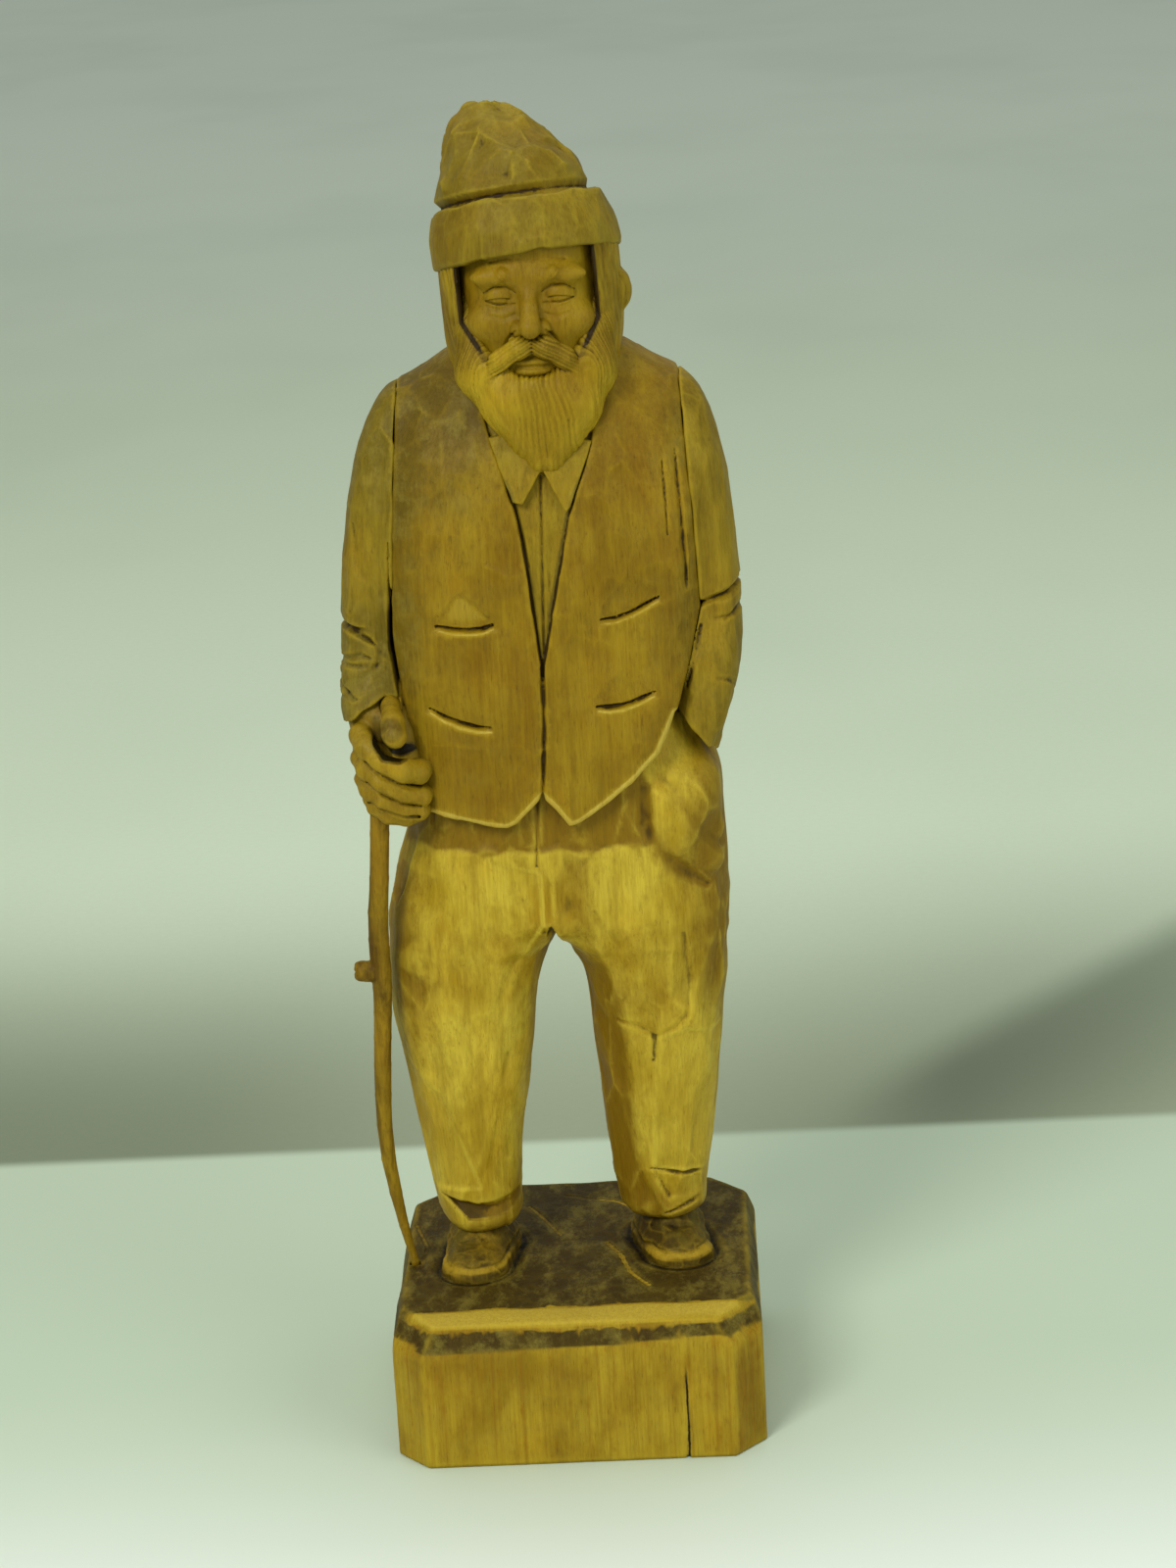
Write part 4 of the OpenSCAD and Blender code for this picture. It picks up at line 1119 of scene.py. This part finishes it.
# pale, mid, deep, soil_and_shade, stain_and_shade and dust colours, then darkening_strength,
# mottle, streak, rough, bump and ridge
WOODS = {
    "block_wood": ((172, 146, 34), (138, 110, 14), (135, 91, 5), (24, 17, 1), (54, 41, 4),
        (126, 112, 44), 1, 0.5, 0.55, 0.62, 0.8, 0.3),
    "trouser_wood": ((196, 173, 54), (162, 134, 22), (131, 102, 9), SOIL_AND_SHADE, (122, 92, 5),
        None, 0.8, 0.45, 0.4, 0.5, 0.6, 0.45),
    "waistcoat_wood": ((152, 124, 20), (128, 99, 5), (103, 75, 3), SOIL_AND_SHADE, (94, 76, 10),
        GREY, 0.95, 0.45, 0.35, 0.52, 0.6, 0.6),
    "sleeve_wood": ((152, 128, 26), (124, 101, 12), (99, 77, 4), SOIL_AND_SHADE, (106, 90, 16),
        GREY, 0.95, 0.45, 0.35, 0.54, 0.6, 0.55),
    "hand_wood": ((160, 133, 26), (135, 108, 14), (100, 75, 5), BLACK, (92, 72, 10),
        GREY, 1, 0.4, 0.3, 0.5, 0.5, 0.4),
    "face_wood": ((154, 126, 21), (135, 106, 11), (110, 82, 4), BLACK, (104, 80, 5),
        None, 0.9, 0.35, 0.2, 0.5, 0.5, 0.4),
    "beard_wood": ((174, 148, 30), (143, 116, 14), (110, 84, 4), (44, 31, 2), (102, 78, 4),
        None, 1, 0.4, 0.2, 0.52, 0.5, 0.5),
    "cap_wood": ((144, 124, 27), (118, 96, 11), (98, 75, 4), SOIL_AND_SHADE, (116, 100, 21),
        GREY, 1, 0.45, 0.3, 0.55, 0.6, 0.7),
    "shoe_wood": ((166, 136, 29), (82, 65, 9), (54, 40, 3), (22, 16, 1), (63, 48, 4),
        (104, 91, 27), 1, 0.5, 0.3, 0.6, 0.7, 0.45),
    "stick_wood": ((154, 125, 23), (125, 97, 11), (84, 60, 4), (36, 26, 2), (78, 57, 4),
        None, 1, 0.5, 0.9, 0.55, 0.9, 0.4),
}


def wood(name, colours, darkening_strength, mottle, streak, rough, bump, ridge, seed):
    """Pale carving wood: fine grain up the figure, blotches, stained places and painted shade, pale
    worn ridges and painted light, and soiling and painted shade in the hollows."""
    pale, mid, deep, soil_and_shade, stain_and_shade, dust = (c and srgb(*c) for c in colours)
    block = name == "block_wood"
    fine = 2.2 if block else 1  # how fine its long lines are
    mat, bsdf, place = material(name)
    fibre = place.noise(1.5, (1, 1, 0.045), 4, 0.6, seed)
    lines = place.noise(0.28 * fine, (1, 1, 0.03 / fine), 5, 0.6, seed + 3)
    blot = place.noise(0.055, (1, 1, 0.6), 5, 0.6, seed + 7)
    spots = place.noise(0.35, (1, 1, 0.5), 6, 0.7, seed + 11)
    pores = place.noise(3.2, (1, 1, 0.09), 2, 0.5, seed + 5)
    rub = place.noise(0.16, (1, 0.5, 1), 6, 0.75, seed + 15)
    warm = place.noise(0.08, (1, 1, 0.5), 4, 0.6, seed + 19)
    tone = place.attribute("tone")
    colour = blend("MIX", blot.spread(0.36, 0.64), mid, pale)
    colour = blend("MULTIPLY", warm.spread(0.45, 0.65, 0, 0.6), colour, (0.98, 0.86, 0.6))
    colour = blend("MIX", spots.spread(0.48, 0.75) * mottle, colour, deep)
    colour = blend("MIX", lines.spread(0.46, 0.70) * streak, colour, deep)
    # Below 0 the tone brings in the stained wood, and painted shade where a tone function paints
    # it.
    patchy = tone * -1 + (spots - 0.5) * 0.7
    colour = blend("MIX", patchy.spread(0.1, 0.85, 0, 0.94), colour, stain_and_shade)
    if dust:
        dusty = rub.spread(0.44, 0.66) * tone.spread(-0.2, -0.7, 0.15, 0.65)
        colour = blend("MIX", dusty, colour, dust)
    # Above 0 it brings pale wear and painted light, above 1 fresh wear and painted highlights,
    # where the tone functions put them.
    colour = blend("MIX", tone.spread(0.1, 1, 0, 0.85), colour, pale)
    colour = blend("MIX", tone.spread(1, 1.9, 0, 0.85), colour, BARE_AND_HIGHLIGHT)
    colour = blend("MULTIPLY", fibre.spread(0.35, 0.65, 1, 0) * 0.42, colour, (0.66, 0.60, 0.48))
    colour = blend("MULTIPLY", pores.spread(0.60, 0.72) * 0.5, colour, (0.45, 0.38, 0.25))
    edge = place.attribute("ridge") * (spots.spread(0.25, 0.55) * ridge)
    colour = blend("MIX", edge, colour, [min(1, c * 1.2) for c in pale])
    # The darkening: soiling and painted shade in creases and between parts, and painted shade where
    # the tone is below -1.
    darkening = place.attribute("cavity") + place.attribute("hollow") * 0.42
    darkening = darkening + (spots - 0.5) * 0.3 + tone.spread(-1, -1.9, 0, 0.8)
    colour = blend("MIX", darkening.spread(0.2, 0.95, 0, darkening_strength), colour, soil_and_shade)
    if block:
        x, y, z = place.axes()
        off = x - CRACK_X + (spots - 0.5) * 0.0012
        hairline = off.math("ABSOLUTE", 0).spread(0.00012, 0.0004, 1, 0)
        hairline = hairline * z.spread(CRACK_TOP - 0.006, CRACK_TOP, 1, 0)
        colour = blend("MIX", hairline * y.spread(*CRACK_Y, 1, 0), colour, soil_and_shade)
    colour.into(bsdf.inputs["Base Color"])
    spots.spread(0.3, 0.7, rough - 0.07, rough + 0.1).into(bsdf.inputs["Roughness"])
    bsdf.inputs["Specular IOR Level"].default_value = DULL
    relief = place.nt.nodes.new("ShaderNodeBump")
    relief.inputs["Strength"].default_value = bump
    relief.inputs["Distance"].default_value = BUMP_HEIGHT
    (fibre * 0.6 + pores * 0.25 + spots * 0.8).into(relief.inputs["Height"])
    place.nt.links.new(relief.outputs[0], bsdf.inputs["Normal"])
    return mat


mats = {
    name: wood(name, row[:6], *row[6:], seed) for seed, (name, row) in enumerate(WOODS.items())}

# ---------------------------------------------------------------- pieces


# Each gives the tone of a wood's surface from its place and normal: -1 stained wood and painted
# shade, down to -1.9 darker, mostly painted shade,
# 0 as it is, 1 pale wear and painted light, up to 1.9 bare wood and painted highlights.


def block_tone(P, N):
    x, y, z = P
    bevel = step(-37.2, -38.2, y + 0.6 * wobble(P, 3, 4))
    cut_off = corner(np.abs(x), np.abs(y), 10.5, 11)
    bevel = np.maximum(bevel, step(-1.2, 0.2, cut_off) * step(-20, -30, y))
    bevel = bevel * step(-3.3, -1.3, z + 0.5 * wobble(P, 8, 5))
    top = step(-2.6, -1.2, z) * step(0.5, 0.8, N[2]) * (0.85 + 0.3 * wobble(P, 7, 2))
    jog = np.where(y < -HALF_D + 6, np.interp(x, *RIM_JOG), RIM_Z)
    band = step(-0.5, 0.3, z - jog) * step(-1.4, -3, z)
    side = step(-0.5, 0.3, z - jog) * (1 - step(-34, -38, y))
    dark = np.clip(top + 0.8 * band + side * 0.95, 0, 1)
    scratch = np.zeros(x.shape, np.float32)
    for mark in SCRATCHES:
        scratch = np.maximum(scratch, line(P, [(a, b, w + 0.35) for a, b, w in mark], (0, 1)))
    scratch = 0.75 * step(0.2, 0.8, scratch) * top * np.where(np.abs(x - 13) < 8, 1, 0.5)
    fresh = bevel * 1.45 + scratch
    return fresh - dark * (1 - np.minimum(fresh, 1))


def trouser_tone(P, N):
    x, y, z = P
    fr = step(0, -4, y)
    # Painted shade: on the inner thighs, under the waistcoat's hem, in the cut wedge, in the
    # valleys beside the pocketed fingers and at the foot of the left leg.
    inner = np.where(x > 0, step(18, 10, x), step(-12, -8, x) * 0.6) * step(95, 70, z)
    band = step(-1.2, 1, z - 116.8 - 0.9 * wobble(P, 4, 2) - 0.6 * np.sin(x * 0.5))
    band = band * step(28, 22, x) * step(0, -3, y) * 0.85
    wedge = step(0.4, -0.5, polygon(P, WEDGE)) * step(2, -2, y)
    valley_shade = np.maximum(*(
        k * line(P, [(a, b, w + 1) for a, b, w in way]) for way, k in zip(PADS, (0.9, 0.25)))) * fr
    valley_shade = valley_shade + 0.35 * step(26, 30, x) * step(104, 110, z)
    ankle_shade = step(22, 9, z + 0.35 * (x - 20)) * (x > 0)
    # Random tone, with painted shade on the outer sides.
    out = 0.3 * wobble(P, 13, 6) + 0.15 * wobble(P, 5, 2) - 0.2 - 0.45 * step(34, 42, np.abs(x))
    out = out + 0.3 * step(8, 14, x) * step(36, 30, x) * step(74, 84, z)
    # The facets: painted light on those with a tone above 0, with a painted highlight along their
    # outlines, and painted shade on those below 0.
    edges = np.zeros(x.shape, np.float32)
    for outline, _, tone in FACETS:
        soft = 1 if tone > 0 else 3
        d = polygon(P, outline)
        if tone > 0:
            edges = np.maximum(edges, step(1.1, 0.2, np.abs(d)) * fr)
        out = out + tone * step(soft, -soft - 0.4, d) * fr
    out = np.clip(out, -0.9, 0.8) - inner * 0.6 - band
    out = out - 0.4 * step(15, 9, z) - 0.6 * ankle_shade - 0.7 * valley_shade
    out = out - 0.3 * step(18, 15, z) * step(-29, -24, x) * (x < 0)
    out = np.maximum(out, -1) + 0.9 * edges * (0.6 + 0.8 * wobble(P, 5, 9))
    return out - wedge * (0.8 + 1.2 * step(-21, -28, x))


def vest_tone(P, N):
    x, y, z = P
    rough = 9 * wobble(P, 6, 3) + 5 * wobble(P, 2.5, 8)
    # darker towards the top, mostly on the figure's right
    darkening = step(196, 240, z + 0.4 * np.abs(x - 2) + rough) * (0.7 - 0.65 * step(-6, 10, x))
    # painted shade on the sides, where the waistcoat turns away
    side_shade = 0.35 * step(26, 36, np.abs(x - 2))
    low = 0.3 * step(158, 140, z) * step(0.2, 0.8, wobble(P, 8, 3))
    lip = np.zeros(x.shape, np.float32)
    for slit, fresh in zip(POCKETS, (0.8, 0.5, 0.3, 0.4)):
        a, b, _ = slit[2]
        rubbed = fresh * step(7.5, 3, np.abs(x - a) + 0.9 * np.abs(z - b - 3.2))
        # the pale lower lip of each slit: wear and a painted highlight
        under = 2.0 * line(P, [(a, b - 2, 0.6 * w + 0.4) for a, b, w in slit])
        lip = np.maximum(np.maximum(lip, rubbed), under)
    lip = np.maximum(lip, 1.4 * step(0.6, -1.2, polygon(P, LID)))
    hem = step(1.5, 0.4, np.abs(polygon(P, FRONT_HEM) - 0.7)) * step(-3.5, -6, y)
    out = lip * step(-4, -8, y) + 1.9 * hem - darkening * (1 - hem)
    return out - side_shade - low - 0.05 - 0.25 * wobble(P, 9, 4)


def sleeve_tone(P, N):
    x, _, z = P
    rough = 5 * wobble(P, 5, 3) + 3 * wobble(P, 2.2, 8)
    rolled = step(186, 164, z + rough) * np.where(x < 0, 0.4, 0.6)
    out = -rolled + np.where(x < 0, -0.4, 0.4) - 0.35 * step(192, 224, z + rough)
    return out + 0.3 * step(42, 46, x) * step(178, 186, z) - 0.05 + 0.3 * wobble(P, 8, 5)


def cap_tone(P, N):
    return -0.15 - 0.15 * step(274, 286, P[2] + 3 * wobble(P, 4, 3)) + 0.45 * wobble(P, 6, 7)


def shoe_tone(P, N):
    x, y, z = P
    # a painted highlight along the toe's upward-facing rim; the rest darker, the left shoe more so
    lip = step(0.6, 2.2, z) * step(3.6, 2.4, z) * step(-4, -9, y)
    return lip - np.where(x > 0, 0.85, 0.5) * (1 - lip) + 0.35 * wobble(P, 3, 2)


def beard_tone(P, N):
    _, y, z = P
    # painted shade: a dark line on front-facing hair just outside the face's edge, in the gap
    # between them
    gap_shade = step(0.9, 0.3, np.abs(polygon(P, FACE_EDGE) - 0.2)) * step(0, -5, y)
    gap_shade = gap_shade * step(240, 246, z) * step(0.1, -0.35, N[1])
    out = 0.35 * step(234, 220, z) - 0.45 * step(228, 240, z + 2 * wobble(P, 4, 2))
    return out + 0.3 * wobble(P, 4, 6) - 1.9 * gap_shade


def hand_tone(P, N):
    x, y, z = P
    # painted shade in the crescent under the thumb
    under_thumb = line(P, [(-41.8, 152, 1.6), (-41, 148.2, 2.6), (-39, 145.6, 2.8),
        (-36, 144.8, 2.6), (-32, 145, 1.4)])
    knob = step(3.4, 2.2, np.hypot(x + 37.4, z - 151.5))
    out = 0.3 * wobble(P, 4, 3) - 0.1 - 0.5 * knob - 0.35 * step(148, 156, z)
    darkening = 1.9 * step(0.15, 0.6, under_thumb) * step(-16, -20, y) * (1 - knob)
    return np.maximum(out, -1) - darkening


def shade_tone(P, N):
    return 0.35 * wobble(P, 5, 3) - 0.1


def shirt_tone(P, N):
    """Like shade_tone, with painted shade along the waistcoat's edge."""
    edge = step(1.4, 0.2, np.abs(polygon(P, OPENING)))
    return shade_tone(P, N) - 1.8 * edge * step(214, 208, P[2])


def crown_cuts(P):
    """The cap's knife marks, which stop short of its band."""
    move, edge = knife((8, 8, 13), 0.6, 2.6, 16, 0.22)(P)
    clear = step(1, 6, in_cap(P)[2] - BAND)
    return move * clear, edge * clear


BODIES = {"whittled_stick": "stick"}  # the rest ride on the carving
NODES = {  # the rest replace the CAD node that they are named after
    "base_block": ["base"], "whittled_stick": ["stick"],
    "trousers": ["trouser_seat", "right_leg", "left_leg"]}
PIECES = (  # shape, width of a cell, wood, share kept, tone, knife(size, depth, tilt, seed, edge)
    ("base_block", 0.75, "block_wood", 0.45, block_tone, knife((9, 9, 9), 0.05, 1, 3)),
    ("trousers", 0.62, "trouser_wood", 0.42, trouser_tone, knife((9, 9, 24), 0.42, 2.2, 5, 0.12)),
    ("right_shoe", 0.45, "shoe_wood", 0.6, shoe_tone, knife((4.5, 4.5, 3.5), 0.22, 1.4, 7)),
    ("left_shoe", 0.45, "shoe_wood", 0.6, shoe_tone, knife((4.5, 4.5, 3.5), 0.22, 1.4, 8)),
    ("waistcoat", 0.5, "waistcoat_wood", 0.38, vest_tone, knife((7, 7, 9), 0.2, 1.6, 9, 0.12)),
    ("shirt_front", 0.4, "sleeve_wood", 0.42, shirt_tone, knife((5, 5, 8), 0.08, 1, 10)),
    ("right_sleeve", 0.5, "sleeve_wood", 0.48, sleeve_tone,
        knife((6, 6, 12), 0.26, 1.7, 11, 0.12)),
    ("left_sleeve", 0.5, "sleeve_wood", 0.48, sleeve_tone, knife((6, 6, 12), 0.26, 1.7, 12, 0.12)),
    ("right_fist", 0.35, "hand_wood", 0.5, hand_tone, knife((3.5, 3.5, 3.5), 0.09, 1.2, 13)),
    ("face", 0.3, "face_wood", 0.45, shade_tone, knife((3, 3, 3), 0.05, 1, 14)),
    ("hair", 0.38, "beard_wood", 0.58, beard_tone, None),
    ("beard", 0.32, "beard_wood", 0.58, beard_tone, None),
    ("cap_band", 0.45, "cap_wood", 0.48, cap_tone, knife((6.5, 6.5, 8), 0.3, 1.9, 15, 0.12)),
    ("cap_crown", 0.45, "cap_wood", 0.48, cap_tone, crown_cuts),
    ("whittled_stick", 0.3, "stick_wood", 0.48, shade_tone, knife((1.6, 1.6, 9), 0.06, 1, 17)))

make_field()
for name, h, kind, keep, tone, relief in PIECES:
    piece(name, h, NODES.get(name, [name]), BODIES.get(name, "carving"),
        mats[kind], keep, relief, tone)

# ---------------------------------------------------------------- floor


FLOOR = [(-4, -4, 0), (4, -4, 0), (4, 6, 0), (-4, 6, 0)]
TABLE_END = (0.168, 0.176)  # where the table top gives way to the ground behind it
EVEN = (1, 1, 1)  # for noise that is stretched in no direction


def floor():
    """A pale table top, and the grey-green ground that starts a hand's width behind the figure."""
    me = bpy.data.meshes.new("floor")
    me.from_pydata(FLOOR, [], [(0, 1, 2, 3)])
    ob = bpy.data.objects.new("floor", me)
    scene.collection.objects.link(ob)
    mat, bsdf, place = material("floor")
    x, away, _ = place.axes()
    # the ground: painted shade near the table, brightening to painted light far off
    cloth = blend("MIX", away.spread(0.17, 0.5), srgb(150, 159, 131), srgb(214, 228, 200))
    cloth = blend("MIX", away.spread(1, 3), cloth, srgb(244, 255, 236))
    fold = away - 0.165 - (x - 0.065) * 1.25  # a slanting shadow to the right
    shade = fold.spread(0.035, -0.012) * fold.spread(-0.16, -0.01) * x.spread(0.06, 0.12, 0, 0.85)
    cloth = blend("MULTIPLY", shade, cloth, (0.45, 0.47, 0.43))
    # and a soft one to the left
    left = away.spread(0.42, 0.2) * x.spread(-0.01, -0.14, 0, 0.62)
    cloth = blend("MULTIPLY", left, cloth, (0.5, 0.53, 0.5))
    weave = place.noise(0.35, EVEN, 2).spread(0.3, 0.7, 0, 0.12)
    cloth = blend("MULTIPLY", weave, cloth, (0.8, 0.84, 0.8))
    # painted shade of broad creases in the cloth
    creases = place.noise(0.003, (1, 0.6, 1), 3).spread(0.4, 0.7, 0, 0.2)
    cloth = blend("MULTIPLY", creases, cloth, (0.7, 0.74, 0.7))
    patches = place.noise(0.006, EVEN, 4).spread(0.3, 0.7, 0, 0.12)
    # the table top: painted light just in front of the figure, painted shade behind it and towards
    # the camera
    table = blend("MIX", away.spread(-0.22, 0.02), srgb(252, 255, 250), srgb(190, 206, 180))
    table = blend("MIX", away.spread(-0.5, -0.16), srgb(172, 184, 166), table)
    table = blend("MULTIPLY", patches, table, (0.85, 0.9, 0.88))
    colour = blend("MIX", away.spread(*TABLE_END), table, cloth)
    colour.into(bsdf.inputs["Base Color"])
    bsdf.inputs["Roughness"].default_value = 0.6
    me.materials.append(mat)


floor()
